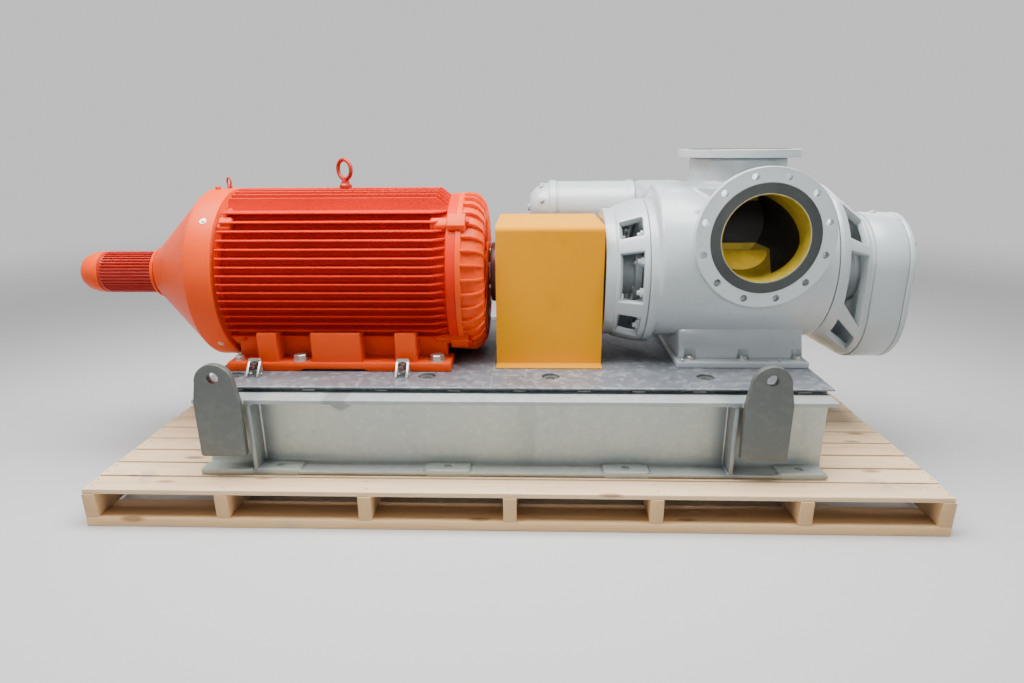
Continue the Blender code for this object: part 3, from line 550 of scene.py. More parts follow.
def arc(centre, radius, start, end, steps):
    """Points of an arc, in degrees from the first axis of its outline."""
    turns = [math.radians(start + (end - start) * step / steps) for step in range(steps + 1)]
    return [(centre[0] + radius * math.cos(turn), centre[1] + radius * math.sin(turn)) for turn in turns]


def rounded(low, high, radius, steps=5):
    """A rectangle's outline with round corners."""
    (a0, b0), (a1, b1) = low, high
    corners = ((a1 - radius, b1 - radius, 0), (a0 + radius, b1 - radius, 90), (a0 + radius, b0 + radius, 180),
               (a1 - radius, b0 + radius, 270))
    return [point for a, b, turn in corners for point in arc((a, b), radius, turn, turn + 90, steps)]


# %% [markdown]
# Some forms need more than one tool. A hole is cut with the exact Boolean, and a casting's soft corners come
# from a voxel remesh that is then smoothed. `worked` puts such a stack of modifiers on a throwaway object and
# keeps the mesh that comes out, so nothing is left live.

# %% Modifiers, cutters and stamps


def worked(mesh, *steps):
    """The mesh after a stack of modifiers, each given as its kind and its settings."""
    blank = bpy.data.objects.new("blank", mesh)
    bpy.context.collection.objects.link(blank)
    tools = []
    for kind, settings in steps:
        modifier = blank.modifiers.new(kind.lower(), kind)
        for key, value in settings.items():
            if isinstance(value, bpy.types.Mesh):
                value = bpy.data.objects.new("cutter", value)
                bpy.context.collection.objects.link(value)
                tools.append(value)
            setattr(modifier, key, value)
    ready = blank.evaluated_get(bpy.context.evaluated_depsgraph_get())
    made = bpy.data.meshes.new_from_object(ready)
    for thing in [blank, *tools]:
        bpy.data.objects.remove(thing)
    return made


def drilled(mesh, *cutters, edge=0.0):
    """The mesh less each cutter, with the new rims softened."""
    made = worked(mesh, *(("BOOLEAN", {"operation": "DIFFERENCE", "solver": "EXACT", "object": cutter})
                          for cutter in cutters))
    if not edge:
        return made
    work = bmesh.new()
    work.from_mesh(made)
    bmesh.ops.dissolve_limit(work, angle_limit=0.01, verts=work.verts, edges=work.edges)
    soften(work, edge)
    return shape(work)


def stamped(*parts):
    """One mesh from several: each part is a mesh, or a mesh with the list of places where it is stamped."""
    work = bmesh.new()
    for part in parts:
        mesh, places = part if isinstance(part, tuple) else (part, [Matrix.Identity(4)])
        for place in places:
            start = len(work.verts)
            work.from_mesh(mesh)
            work.verts.ensure_lookup_table()
            bmesh.ops.transform(work, matrix=place, verts=work.verts[start:])
    mesh = bpy.data.meshes.new("stamped")
    work.to_mesh(mesh)
    work.free()
    return mesh


def at(point, direction=(0, 0, 1), turn=0.0):
    """A place for a shape that was made standing on the origin: its +Z then points along direction."""
    aim = Vector(direction).to_track_quat("Z", "Y").to_matrix().to_4x4()
    return Matrix.Translation(point) @ aim @ Matrix.Rotation(turn, 4, "Z")


def circle_of(count, centre, radius, axis, direction, start=0.5):
    """Places on a bolt circle round an axis."""
    places = []
    for number in range(count):
        turn = math.tau * (number + start) / count
        a, b = radius * math.cos(turn), radius * math.sin(turn)
        offset = {"X": (0, a, b), "Y": (a, 0, b), "Z": (a, b, 0)}[axis]
        places.append(at(Vector(centre) + Vector(offset), direction, turn * 1.7))
    return places


def piece(name, mesh, finish, stands_for=(), body=UNIT):
    """A finished piece: shaded, painted, and riding on its body."""
    mesh.name = name
    mesh.shade_smooth()
    mesh.set_sharp_from_angle(angle=math.radians(32))
    mesh.materials.clear()
    mesh.materials.append(FINISHES[finish].material)
    made = bpy.data.objects.new(name, mesh)
    bpy.context.collection.objects.link(made)
    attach(made, body)
    if stands_for:
        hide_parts(*stands_for)
    print(f"{name}: {len(mesh.polygons)} faces")
    return made


def repaint(finish, *nodes):
    """Gives CAD nodes whose shape is right a better finish."""
    for node in nodes:
        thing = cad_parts[node]
        thing.data.materials.clear()
        thing.data.materials.append(FINISHES[finish].material)


# %% [markdown]
# ## Fasteners
# A hexagon bolt head is a six-sided cone with no taper, chamfered on top, on a round washer. Its width across
# the flats is one and a half times the thread. A stud shows a nut and a short end of thread. They are small in
# the picture, so each has only a few dozen faces.

# %% Fasteners


def bolt(thread, washer=True):
    work = bmesh.new()
    head = 0.64 * thread
    lift = 0.16 * thread if washer else 0.0
    bmesh.ops.create_cone(work, cap_ends=True, segments=6, radius1=0.87 * thread, radius2=0.87 * thread,
                          depth=head, matrix=Matrix.Translation((0, 0, lift + head / 2)))
    rim = [edge for edge in work.edges if all(v.co.z > lift + head * 0.9 for v in edge.verts)]
    bmesh.ops.bevel(work, geom=rim, offset=0.1 * thread, segments=1, profile=0.5, affect="EDGES",
                    clamp_overlap=True, material=-1)
    if washer:
        bmesh.ops.create_cone(work, cap_ends=True, segments=20, radius1=1.05 * thread, radius2=1.02 * thread,
                              depth=lift, matrix=Matrix.Translation((0, 0, lift / 2)))
    return shape(work)


def stud(thread):
    nut = bolt(thread)
    end = drum([(0, 0), (0, 0.46 * thread), (1.25 * thread, 0.46 * thread), (1.35 * thread, 0.38 * thread),
                (1.35 * thread, 0)], "Z", segments=12)
    return stamped(nut, end)


def socket_screw(thread):
    cap = [(0, 0), (0, 0.75 * thread), (0.9 * thread, 0.75 * thread), (thread, 0.66 * thread),
           (thread, 0.40 * thread), (0.5 * thread, 0.40 * thread), (0.5 * thread, 0)]
    return drum(cap, "Z", segments=18)


def bead(start, end, radius=0.004, pitch=0.007):
    """A straight weld bead: a ring of six points extruded in steps that swell and shrink."""
    start, end = Vector(start), Vector(end)
    length = (end - start).length
    steps = max(4, round(length / pitch)) * 2
    work = bmesh.new()
    ring = bmesh.ops.create_circle(work, cap_ends=True, radius=radius * 0.55, segments=6)["verts"]
    edges = list({edge for vert in ring for edge in vert.link_edges})
    for step in range(1, steps + 1):
        grown = bmesh.ops.extrude_edge_only(work, edges=edges)["geom"]
        ring = [item for item in grown if isinstance(item, bmesh.types.BMVert)]
        edges = [item for item in grown if isinstance(item, bmesh.types.BMEdge)
                 and all(vert in ring for vert in item.verts)]
        size = 1.0 if step % 2 else 0.80
        if step == steps:
            size = 0.55
        for vert in ring:
            flat = Vector((vert.co.x, vert.co.y, 0)).normalized() * radius * size
            vert.co = (flat.x, flat.y, length * step / steps)
    bmesh.ops.contextual_create(work, geom=edges)
    aim = (end - start).to_track_quat("Z", "Y").to_matrix().to_4x4()
    bmesh.ops.transform(work, matrix=Matrix.Translation(start) @ aim, verts=work.verts)
    return shape(work)


M8, M12, M16, M20, M24, M30 = (bolt(size) for size in (0.008, 0.012, 0.016, 0.020, 0.024, 0.030))
STUD_16, STUD_20 = stud(0.016), stud(0.020)
SCREW_10, SCREW_12 = socket_screw(0.010), socket_screw(0.012)
print("a bolt has", len(M24.polygons), "faces")

# %% [markdown]
# ## The pallet
# Thirteen boards are nailed along the pallet on seven bearers, and three bottom boards hold the bearers below.
# Each board is a block with slightly broken edges. A seeded random number shortens it by a few millimetres and
# tips it a little, because sawn timber never lines up.

# %% The pallet
PALLET_HALF = (1.475, 0.6625)
DECK_LOW, DECK_TOP = 0.124, 0.142
BEARER_X = (-1.4525, -0.99, -0.495, 0.0, 0.495, 0.99, 1.4525)
BEARER_WIDTH = 0.045
BOTTOM_ROWS = (-0.6025, 0.0, 0.6025)
chance = random.Random(11)


def deck_boards():
    boards, nails = [], []
    nail = drum([(0, 0), (0, 0.0042), (0.0009, 0.0034), (0.0009, 0)], "Z", segments=8)
    for number in range(13):
        middle = -PALLET_HALF[1] + DECK_PITCH * (number + 0.5)
        half = DECK_PITCH / 2 - chance.uniform(0.0035, 0.0052)
        ends = [PALLET_HALF[0] - chance.uniform(0.0, 0.006) for _ in range(2)]
        board = block((-ends[0], -half, DECK_LOW), (ends[1], half, DECK_TOP - chance.uniform(0, 0.0008)), 0.0022)
        skew = Matrix.Rotation(chance.uniform(-0.0006, 0.0006), 4, "Z")
        boards.append((board, [Matrix.Translation((0, middle, 0)) @ skew]))
        for x in BEARER_X:
            for shift in (-0.022, 0.024):
                nails.append(at((x + chance.uniform(-0.010, 0.010), middle + shift, DECK_TOP - 0.0006)))
    piece("pallet_deck_boards", stamped(*boards), "pine_deck", ["pallet_deck"])
    piece("pallet_nails", stamped((nail, nails)), "weld")


def pallet_frame():
    for number, x in enumerate(BEARER_X, 1):
        low = (x - BEARER_WIDTH / 2, -PALLET_HALF[1] + chance.uniform(0, 0.003), 0.035)
        high = (x + BEARER_WIDTH / 2, PALLET_HALF[1] - chance.uniform(0, 0.003), DECK_LOW - 0.0003)
        piece(f"pallet_bearer_{number}", block(low, high, 0.002), "pine_bearer", [f"pallet_stringer_{number}"])
    for y, row in zip(BOTTOM_ROWS, ("front", "middle", "rear")):
        board = block((-PALLET_HALF[0], y - 0.06, 0), (PALLET_HALF[0], y + 0.06, 0.0347), 0.0025)
        piece(f"pallet_bottom_{row}", board, "pine_bottom", [f"pallet_runner_{row}"])


deck_boards()
pallet_frame()

# %% [markdown]
# ## The skid's beams
# Each side of the skid is a rolled H beam with a round fillet between web and flange. It is extruded from its
# outline. Foot plates of a thicker steel sit under the anchor bolts, so between them a dark line shows under
# the flange. Stiffeners are welded in at two places, with a bead down each corner.

# %% The beams
BEAM_HALF = 1.10
BEAM_LOW, BEAM_TOP = 0.1478, 0.430
BEAM_OUT, BEAM_IN, WEB_HALF = 0.55, 0.39, 0.005
WEB_Y = 0.47
FLANGE_LOW, FLANGE_HIGH = 0.1593, 0.415
STIFFENERS = (-0.905, 0.765)
ANCHORS = (-0.83, -0.225, 0.405, 1.01)


def beam_outline(side):
    root = 0.016
    quarters = []
    for y_sign in (1, -1):
        flange = BEAM_OUT if y_sign > 0 else BEAM_IN
        web = WEB_Y + y_sign * WEB_HALF
        centre = web + y_sign * root
        low = arc((centre, FLANGE_LOW + root), root, 270, 180, 5)
        high = arc((centre, FLANGE_HIGH - root), root, 180, 90, 5)
        if y_sign < 0:
            low = arc((centre, FLANGE_LOW + root), root, 270, 360, 5)
            high = arc((centre, FLANGE_HIGH - root), root, 0, 90, 5)
        run = [(flange, BEAM_LOW), (flange, FLANGE_LOW), *low, *high, (flange, FLANGE_HIGH), (flange, BEAM_TOP)]
        quarters.append(run if y_sign > 0 else run[::-1])
    return [(side * y, z) for y, z in quarters[0] + quarters[1]]


def foot_plates(side):
    """Anchor pads with round corners and a hole for the foundation bolt."""
    pads = []
    for x in ANCHORS:
        outer = BEAM_OUT + 0.0015
        low, high = sorted((side * (BEAM_OUT - 0.070), side * outer))
        pad = plate(rounded((x - 0.08, low), (x + 0.08, high), 0.014), "Z", 0.1423, 0.1675)
        hole = drum([(0.12, 0), (0.12, 0.0145), (0.19, 0.0145), (0.19, 0)], "Z",
                    (x, side * (BEAM_OUT - 0.035), 0), 24)
        pads.append(drilled(pad, hole, edge=0.0012))
        under = sorted((side * BEAM_IN, side * (BEAM_OUT - 0.065)))
        pads.append(block((x - 0.08, under[0], 0.1423), (x + 0.08, under[1], BEAM_LOW + 0.001)))
    low, high = sorted((side * (WEB_Y + 0.03), side * (BEAM_OUT + 0.0012)))
    pads.append(block((-BEAM_HALF - 0.004, low, 0.1430), (STIFFENERS[0] - 0.010, high, 0.1660), 0.003))
    return pads


def stiffener_welds(side):
    runs = []
    for x in STIFFENERS:
        for edge in (-0.0085, 0.0085):
            face = side * (WEB_Y + WEB_HALF + 0.001)
            out = side * (BEAM_OUT - 0.004)
            runs.append(bead((x + edge, face, FLANGE_LOW), (x + edge, face, FLANGE_HIGH), 0.005))
            for z in (FLANGE_LOW + 0.002, FLANGE_HIGH - 0.002):
                runs.append(bead((x + edge, face, z), (x + edge, out, z), 0.0045))
    for x in ANCHORS:
        for end in (-0.081, 0.081):
            runs.append(bead((x + end, side * (BEAM_OUT - 0.068), FLANGE_LOW + 0.001),
                             (x + end, side * (BEAM_OUT - 0.004), FLANGE_LOW + 0.001), 0.005))
    return runs


for side, row in ((-1, "front"), (1, "rear")):
    rail = plate(beam_outline(side), "X", -BEAM_HALF, BEAM_HALF, 0.0018)
    ribs = []
    for x in STIFFENERS:
        low, high = sorted((side * WEB_Y, side * (BEAM_OUT - 0.002)))
        ribs.append(block((x - 0.007, low, FLANGE_LOW - 0.001), (x + 0.007, high, FLANGE_HIGH + 0.001), 0.0015))
    piece(f"skid_beam_{row}", stamped(rail, *ribs, *foot_plates(side)), "galvanised_web", [f"beam_{row}"])
    piece(f"skid_beam_welds_{row}", stamped(*stiffener_welds(side)), "weld")

# %% [markdown]
# ## Cross members, top plate and lugs
# Channels tie the two beams, and a thick plate carries the machines. Its front edge is set back underneath, so
# a dark gap shows between plate and beam, bridged by short stitch welds. The eight round holes are levelling
# points, each with a sunk plug. The lugs are cut from heavier plate, with a shackle hole in a round head.

# %% Cross members, top plate and lugs
PLATE_TOP = 0.452
SHEET_LOW = 0.4455
PLATE_HALF = (1.115, 0.478)
PLUGS_X = (-1.03, -0.312, 0.142, 0.704)
PLUG_Y = 0.36
LUG_X = (-1.000, 0.862)


def deck_plate():
    deck = block((-PLATE_HALF[0], -PLATE_HALF[1], SHEET_LOW), (PLATE_HALF[0], PLATE_HALF[1], PLATE_TOP), 0.0015)
    packing = block((-PLATE_HALF[0] + 0.015, -PLATE_HALF[1] + 0.022, BEAM_TOP + 0.0003),
                    (PLATE_HALF[0] - 0.015, PLATE_HALF[1] - 0.022, SHEET_LOW + 0.0002))
    spots = [(x, side * PLUG_Y) for x in PLUGS_X for side in (-1, 1)]
    hole = drum([(0.42, 0), (0.42, 0.0325), (0.47, 0.0325), (0.47, 0)], "Z", segments=40)
    cutters = stamped((hole, [Matrix.Translation((x, y, 0)) for x, y in spots]))
    deck = drilled(deck, cutters, edge=0.0016)
    packing = drilled(packing, cutters)
    plug = drum([(0.4303, 0), (0.4303, 0.0318), (0.4425, 0.0318), (0.4440, 0.0300), (0.4440, 0.0150),
                 (0.4385, 0.0125), (0.4385, 0)], "Z", segments=40)
    piece("skid_top_plate", stamped(deck, packing), "galvanised_plate", ["top_plate"])
    piece("levelling_plugs", stamped((plug, [Matrix.Translation((x, y, 0)) for x, y in spots])), "lug_steel")


def plate_welds():
    runs = []
    for side in (-1, 1):
        y = side * (PLATE_HALF[1] - 0.019)
        for x in (-0.98, -0.72, -0.46, -0.20, 0.03, 0.257, 0.448, 0.66, 1.02):
            runs.append(bead((x - 0.024, y, BEAM_TOP + 0.004), (x + 0.024, y, BEAM_TOP + 0.004), 0.0055))
    runs.append(bead((-0.072, -0.47, PLATE_TOP), (-0.072, 0.47, PLATE_TOP), 0.0025, 0.006))
    piece("plate_welds", stamped(*runs), "weld")


def lug_outline(x):
    head = arc((x, 0.500), 0.066, 0, 180, 22)
    left = [(x - 0.079, 0.43), *arc((x - 0.071, 0.236), 0.008, 180, 270, 3)]
    right = [*arc((x + 0.071, 0.236), 0.008, 270, 360, 3), (x + 0.079, 0.43)]
    return head + left + right


def lugs():
    runs = []
    for side, row in ((-1, "front"), (1, "rear")):
        near, far = side * 0.5503, side * 0.5753
        for x, end in zip(LUG_X, ("left", "right")):
            lug = plate(lug_outline(x), "Y", *sorted((near, far)), edge=0.0028)
            hole = drum([(-0.04, 0), (-0.04, 0.020), (0.04, 0.020), (0.04, 0)], "Y",
                        (x, (near + far) / 2, 0.518), 40)
            piece(f"lifting_lug_{row}_{end}", drilled(lug, hole, edge=0.002), "lug_steel", [f"lug_{row}_{end}"])
            back = side * 0.5485
            runs.append(bead((x - 0.077, back, BEAM_TOP + 0.001), (x + 0.077, back, BEAM_TOP + 0.001), 0.005))
            runs.append(bead((x - 0.077, back, 0.4145), (x + 0.077, back, 0.4145), 0.004))
            for edge in (-0.080, 0.080):
                runs.append(bead((x + edge, side * 0.5515, 0.414), (x + edge, side * 0.5515, 0.432), 0.004))
    piece("lug_welds", stamped(*runs), "weld")


deck_plate()
plate_welds()
lugs()
repaint("galvanised_web", *(f"cross_member_{number}" for number in range(1, 5)))

# %% [markdown]
# ## The motor's ribbed frame
# The frame is a cast barrel with cooling fins. Beside it the fins lie level, on top and below they stand
# upright, as the casting's mould needs. Each fin is a plate that gets thinner outwards and runs out in a slope
# at both ends. One fin is extruded from its outline, then stamped row by row.

# %% The motor's frame
AXIS_Z = 0.770
CORE, FIN_OUT = 0.292, 0.335
FRAME_LEFT, FRAME_RIGHT = -1.078, -0.205
FIN_PITCH = 0.0302


def fin(root, out):
    """One fin, its root towards +Z, thin at the tip, along the frame."""
    slope = 0.055 if out - root > 0.02 else 0.03
    outline = [(FRAME_LEFT + 0.002, root), (FRAME_RIGHT - 0.022, root), (FRAME_RIGHT - 0.024, root + 0.010),
               (FRAME_RIGHT - 0.024 - slope, out), (FRAME_LEFT + 0.010, out),
               (FRAME_LEFT + 0.002, root + 0.022)]
    work = bmesh.new()
    face = work.faces.new([work.verts.new((x, -0.0045, r)) for x, r in outline])
    raised = bmesh.ops.extrude_face_region(work, geom=[face])["geom"]
    bmesh.ops.translate(work, verts=[v for v in raised if isinstance(v, bmesh.types.BMVert)], vec=(0, 0.009, 0))
    for vert in work.verts:
        if vert.co.z > root + 0.004:
            vert.co.y *= 0.62
    bmesh.ops.recalc_face_normals(work, faces=work.faces)
    tips = [edge for edge in work.edges if all(v.co.z > out - 0.001 for v in edge.verts)]
    bmesh.ops.bevel(work, geom=tips, offset=0.0014, segments=1, profile=0.5, affect="EDGES",
                    clamp_overlap=True, material=-1)
    return shape(work)


def fin_rows(turn, rows, limit=FIN_OUT):
    """Fins parallel to each other, turned as one group round the shaft."""
    parts = []
    group = Matrix.Translation((0, 0, AXIS_Z)) @ Matrix.Rotation(turn, 4, "X")
    for offset in rows:
        root = math.sqrt(CORE**2 - offset**2) - 0.012
        out = min(math.sqrt(FIN_OUT**2 - offset**2), limit)
        parts.append((fin(root, out), [group @ Matrix.Translation((0, offset, 0))]))
    return parts


def motor_barrel():
    profile = [(-1.080, 0), (-1.080, 0.300), (-1.066, 0.304), (-1.060, 0.304), (-1.052, CORE), (-0.246, CORE),
               (-0.238, 0.312), (-0.205, 0.312), (-0.205, 0)]
    parts = [drum(profile, "X", (0, 0, AXIS_Z), 96, 0.002)]
    side_rows = [-0.196 + FIN_PITCH * step for step in range(16)]
    top_rows = [FIN_PITCH * (step - 4.5) for step in range(10)]
    parts += fin_rows(math.radians(90), side_rows)
    parts += fin_rows(math.radians(-90), [-row for row in side_rows])
    parts += fin_rows(0.0, top_rows)
    parts += fin_rows(math.radians(180), [FIN_PITCH * step for step in range(-4, 5)], 0.305)
    return parts


# %% [markdown]
# Four bosses at each end take the bolts of the end shield. The feet are long bars joined to the barrel by
# three wide ribs and a wall behind them, with an arch under the middle so that the foot bears at its ends.

# %% Bosses, feet and their bolts
FOOT = (-1.075, -0.230)
FOOT_TOP = 0.485
FOOT_RIBS = ((-0.955, -0.880), (-0.753, -0.565), (-0.438, -0.358))


def bosses():
    pad = stamped(block((-0.236, -0.030, 0.27), (-0.168, 0.030, 0.334), 0.006, 3),
                  block((-0.300, -0.022, 0.27), (-0.230, 0.022, 0.322), 0.010, 3))
    left = block((-1.079, -0.026, 0.27), (-1.030, 0.026, 0.322), 0.006, 3)
    turns = [math.radians(degrees) for degrees in (45, 135, 222, 318)]
    places = [Matrix.Translation((0, 0, AXIS_Z)) @ Matrix.Rotation(turn, 4, "X") for turn in turns]
    return [(pad, places), (left, places)]


def foot_outline():
    low = 0.4524
    return [(FOOT[0], low), (-0.800, low), (-0.786, 0.461), (-0.554, 0.461), (-0.540, low), (FOOT[1], low),
            (FOOT[1], FOOT_TOP), (FOOT[0], FOOT_TOP)]


def motor_feet():
    parts = []
    for side in (-1, 1):
        low, high = sorted((side * 0.185, side * 0.320))
        parts.append(plate(foot_outline(), "Y", low, high, 0.004))
        wall = sorted((side * 0.190, side * 0.226))
        parts.append(block((-1.06, wall[0], 0.47), (-0.25, wall[1], 0.61), 0.006))
        for left, right in FOOT_RIBS:
            face = sorted((side * 0.20, side * 0.309))
            parts.append(block((left, face[0], 0.46), (right, face[1], 0.598), 0.007, 3))
    return parts


def foot_bolts():
    places = [at((x, side * 0.276, FOOT_TOP - 0.0005), turn=x * 9) for x in (-0.806, -0.284) for side in (-1, 1)]
    dark = [at((-1.040, side * 0.278, FOOT_TOP - 0.0005), turn=0.4) for side in (-1, 1)]
    piece("motor_foot_bolts", stamped((M30, places), (STUD_20, dark)), "zinc_hardware")


piece("motor_body", stamped(*motor_barrel()), "motor_red", ["motor_frame"])
piece("motor_feet_and_bosses", stamped(*bosses(), *motor_feet()), "motor_orange")
foot_bolts()

# %% [markdown]
# ## The drive-end shield
# The shield closes the motor on the coupling's side and carries the bearing. It is turned, with short ribs all
# round its rim, and has its bolts in the bosses.

# %% The drive-end shield
SHIELD_RIBS = 36


def end_shield():
    profile = [(-0.2047, 0), (-0.2047, 0.3155), (-0.186, 0.3155), (-0.182, 0.302), (-0.150, 0.298),
               (-0.128, 0.286), (-0.112, 0.266), (-0.104, 0.240), (-0.108, 0.200), (-0.112, 0.150),
               (-0.112, 0.128), (-0.100, 0.120), (-0.097, 0.112), (-0.097, 0.054), (-0.120, 0.052), (-0.150, 0.052),
               (-0.150, 0)]
    body = drum(profile, "X", (0, 0, AXIS_Z), 96, 0.0015)
    outline = [(-0.188, 0.280), (-0.188, 0.3145), (-0.150, 0.3145), (-0.126, 0.300), (-0.108, 0.272),
               (-0.103, 0.240), (-0.112, 0.225)]
    rib = plate([(x, r) for x, r in outline], "Y", -0.0045, 0.0045, 0.0015)
    spin = [Matrix.Translation((0, 0, AXIS_Z)) @ Matrix.Rotation(math.tau * (step + 0.5) / SHIELD_RIBS, 4, "X")
            for step in range(SHIELD_RIBS)]
    spoke = plate([(-0.108, 0.105), (-0.108, 0.26), (-0.1035, 0.246), (-0.1035, 0.125)], "Y", -0.006, 0.006,
                  0.0012)
    piece("motor_end_shield", stamped(body, (rib, spin), (spoke, spin[::3])), "motor_orange", ["drive_end_shield"])
    turns = [math.radians(degrees) for degrees in (45, 135, 222, 318)]
    spots = [(-0.168, -0.318 * math.sin(turn), AXIS_Z + 0.318 * math.cos(turn)) for turn in turns]
    inner = [(-0.0975, 0.084 * math.cos(turn + 0.3), AXIS_Z + 0.084 * math.sin(turn + 0.3)) for turn in turns]
    piece("shield_bolts", stamped((M16, [at(spot, (1, 0, 0), 0.3) for spot in spots])), "motor_red")
    flat = drum([(0, 0), (0, 0.009), (0.004, 0.009), (0.004, 0)], "Z", segments=6)
    piece("bearing_cap_screws", stamped((flat, [at(spot, (1, 0, 0)) for spot in inner])), "zinc_hardware")


end_shield()

# %% [markdown]
# ## Fan cowl and fan motor
# A separate small motor drives the cooling fan, so the cowl ends in a cone that narrows to it. The cowl is thin
# sheet in two courses: a rolled band with a lip, and the cone, with screws round the band.

# %% The fan cowl
SMALL_RIBS = 40


def fan_cowl():
    shell = [(-1.0845, 0), (-1.0845, 0.3325), (-1.0870, 0.335), (-1.1770, 0.335), (-1.1812, 0.3342),
             (-1.1840, 0.3318), (-1.4345, 0.0968), (-1.4365, 0.0950), (-1.4507, 0.0950), (-1.4507, 0)]
    neck = drum([(-1.0805, 0), (-1.0805, 0.300), (-1.086, 0.300), (-1.086, 0)], "X", (0, 0, AXIS_Z), 64)
    under = block((-1.50, -0.40, 0.30), (-1.00, 0.40, 0.462), 0)
    cowl = drilled(drum(shell, "X", (0, 0, AXIS_Z), 128, 0.0006), under)
    ring = drum([(-1.4360, 0.0945), (-1.4360, 0.1020), (-1.4410, 0.1020), (-1.4410, 0.0945)], "X",
                (0, 0, AXIS_Z), 64, 0.001)
    seam = plate([(-1.216, 0.3012), (-1.216, 0.3028), (-1.428, 0.1040), (-1.428, 0.1012)], "Y", -0.012, 0.012,
                 0.0004)
    low_seam = Matrix.Translation((0, 0, AXIS_Z)) @ Matrix.Rotation(math.radians(180), 4, "X")
    piece("fan_cowl_shell", stamped(cowl, neck, ring, (seam, [low_seam])), "motor_orange", ["fan_cowl"])
    screw = stamped(drum([(0, 0), (0, 0.012), (0.0018, 0.012), (0.0018, 0)], "Z", segments=18),
                    drum([(0.0018, 0), (0.0018, 0.0075), (0.0060, 0.0062), (0.0068, 0.003), (0.0068, 0)], "Z",
                         segments=14))
    places = []
    for degrees in (44, 136, 224, 316):
        turn = math.radians(degrees)
        out = Vector((0, -math.cos(turn), math.sin(turn)))
        places.append(at(Vector((-1.125, 0, AXIS_Z)) + out * 0.3345, out))
    piece("cowl_screws", stamped((screw, places)), "zinc_hardware")


def fan_motor():
    body = drum([(-1.4512, 0), (-1.4512, 0.082), (-1.4572, 0.082), (-1.4602, 0.0785), (-1.660, 0.0785),
                 (-1.663, 0.082), (-1.6725, 0.082), (-1.6725, 0)], "X", (0, 0, AXIS_Z), 64, 0.0008)
    rib = block((-1.6640, -0.0020, 0.072), (-1.4570, 0.0020, 0.0838), 0.0009, 1)
    spin = [Matrix.Translation((0, 0, AXIS_Z)) @ Matrix.Rotation(math.tau * step / SMALL_RIBS, 4, "X")
            for step in range(SMALL_RIBS)]
    piece("fan_motor_body", stamped(body, (rib, spin)), "fan_motor_red", ["fan_motor"])
    dome = [(-1.6752, 0), (-1.6752, 0.0790), (-1.6780, 0.0838)]
    for step in range(13):
        turn = math.radians(90 * step / 12)
        dome.append((-1.684 - 0.082 * math.sin(turn), 0.036 + 0.0478 * math.cos(turn)))
    dome += [(-1.7672, 0.030), (-1.768, 0)]
    piece("fan_motor_dome", drum(dome, "X", (0, 0, AXIS_Z), 64), "motor_orange", ["fan_motor_cap"])
    seam = drum([(-1.6725, 0), (-1.6725, 0.0765), (-1.6752, 0.0765), (-1.6752, 0)], "X", (0, 0, AXIS_Z), 48)
    piece("fan_motor_gasket", seam, "black_rubber")


fan_cowl()
fan_motor()

# %% [markdown]
# ## Eyebolts and terminal box
# A lifting eye is a ring spun from a small circle, on a collar. The box for the cables is on the far side: a
# cast case with a screwed lid and two glands. It isn't in the photograph, so it follows common practice.

# %% Eyebolts and terminal box


def eye(x, seat, ring_z, reach, turn=0.0):
    bar, size = reach * 0.215, reach / 0.038
    circle = [(bar * math.sin(math.tau * step / 14), reach + bar * math.cos(math.tau * step / 14))
              for step in range(14)]
    ring = drum(circle, "Y", (0, 0, ring_z), 48)
    collar = drum([(seat, 0), (seat, 0.025 * size), (seat + 0.010 * size, 0.025 * size),
                   (seat + 0.016 * size, 0.018 * size), (ring_z - reach - bar * 0.2, 0.0135 * size),
                   (ring_z - reach + bar * 0.3, 0.006 * size), (ring_z - reach + bar * 0.3, 0)], "Z", segments=32)
    place = [Matrix.Translation((x, 0, 0)) @ Matrix.Rotation(turn, 4, "Z")]
    return stamped((ring, place), (collar, place))


def terminal_box():
    low, high = Vector((-0.80, 0.36, 0.66)), Vector((-0.44, 0.55, 0.96))
    case = block(low, high, 0.012, 3)
    saddle = block((-0.75, 0.25, 0.70), (-0.49, 0.375, 0.90), 0.012, 3)
    rim = block((-0.804, 0.530, 0.656), (-0.436, 0.5505, 0.964), 0.006, 2)
    piece("terminal_box_case", stamped(case, saddle, rim), "motor_red", ["terminal_box"])
    lid = block((-0.804, 0.5523, 0.656), (-0.436, 0.573, 0.964), 0.007, 3)
    plate_pad = block((-0.70, 0.5725, 0.75), (-0.54, 0.5745, 0.87), 0.001, 1)
    piece("terminal_box_cover", stamped(lid, plate_pad), "motor_red", ["terminal_box_lid"])
    gasket = block((-0.799, 0.5500, 0.661), (-0.441, 0.5525, 0.959), 0)
    piece("terminal_box_gasket", gasket, "black_rubber")
    spots = [(x, 0.573, z) for x in (-0.786, -0.62, -0.454) for z in (0.674, 0.946)]
    spots += [(x, 0.573, 0.81) for x in (-0.786, -0.454)]
    piece("terminal_box_screws", stamped((SCREW_10, [at(spot, (0, 1, 0)) for spot in spots])), "zinc_hardware")
    gland = stamped(drum([(0.615, 0), (0.615, 0.022), (0.628, 0.027), (0.643, 0.027), (0.643, 0.031),
                          (0.662, 0.031), (0.662, 0)], "Z", segments=40),
                    drum([(0.622, 0), (0.622, 0.0295), (0.638, 0.0295), (0.638, 0)], "Z", segments=6))
    places = [Matrix.Translation((x, 0.455, 0)) for x in (-0.70, -0.56)]
    piece("cable_glands", stamped((gland, places)), "black_rubber")


piece("lifting_eye", eye(-0.66, 1.1053, 1.174, 0.0368, math.radians(-33)), "fan_motor_red", ["motor_eyebolt"])
piece("rear_lifting_eye", eye(-1.123, 1.1053, 1.128, 0.0168, math.radians(-42)), "fan_motor_red", ["rear_eyebolt"])
piece("cowl_top_bolt", stamped((M12, [at((-1.155, -0.03, 1.1035), turn=0.2)])), "motor_red")
terminal_box()

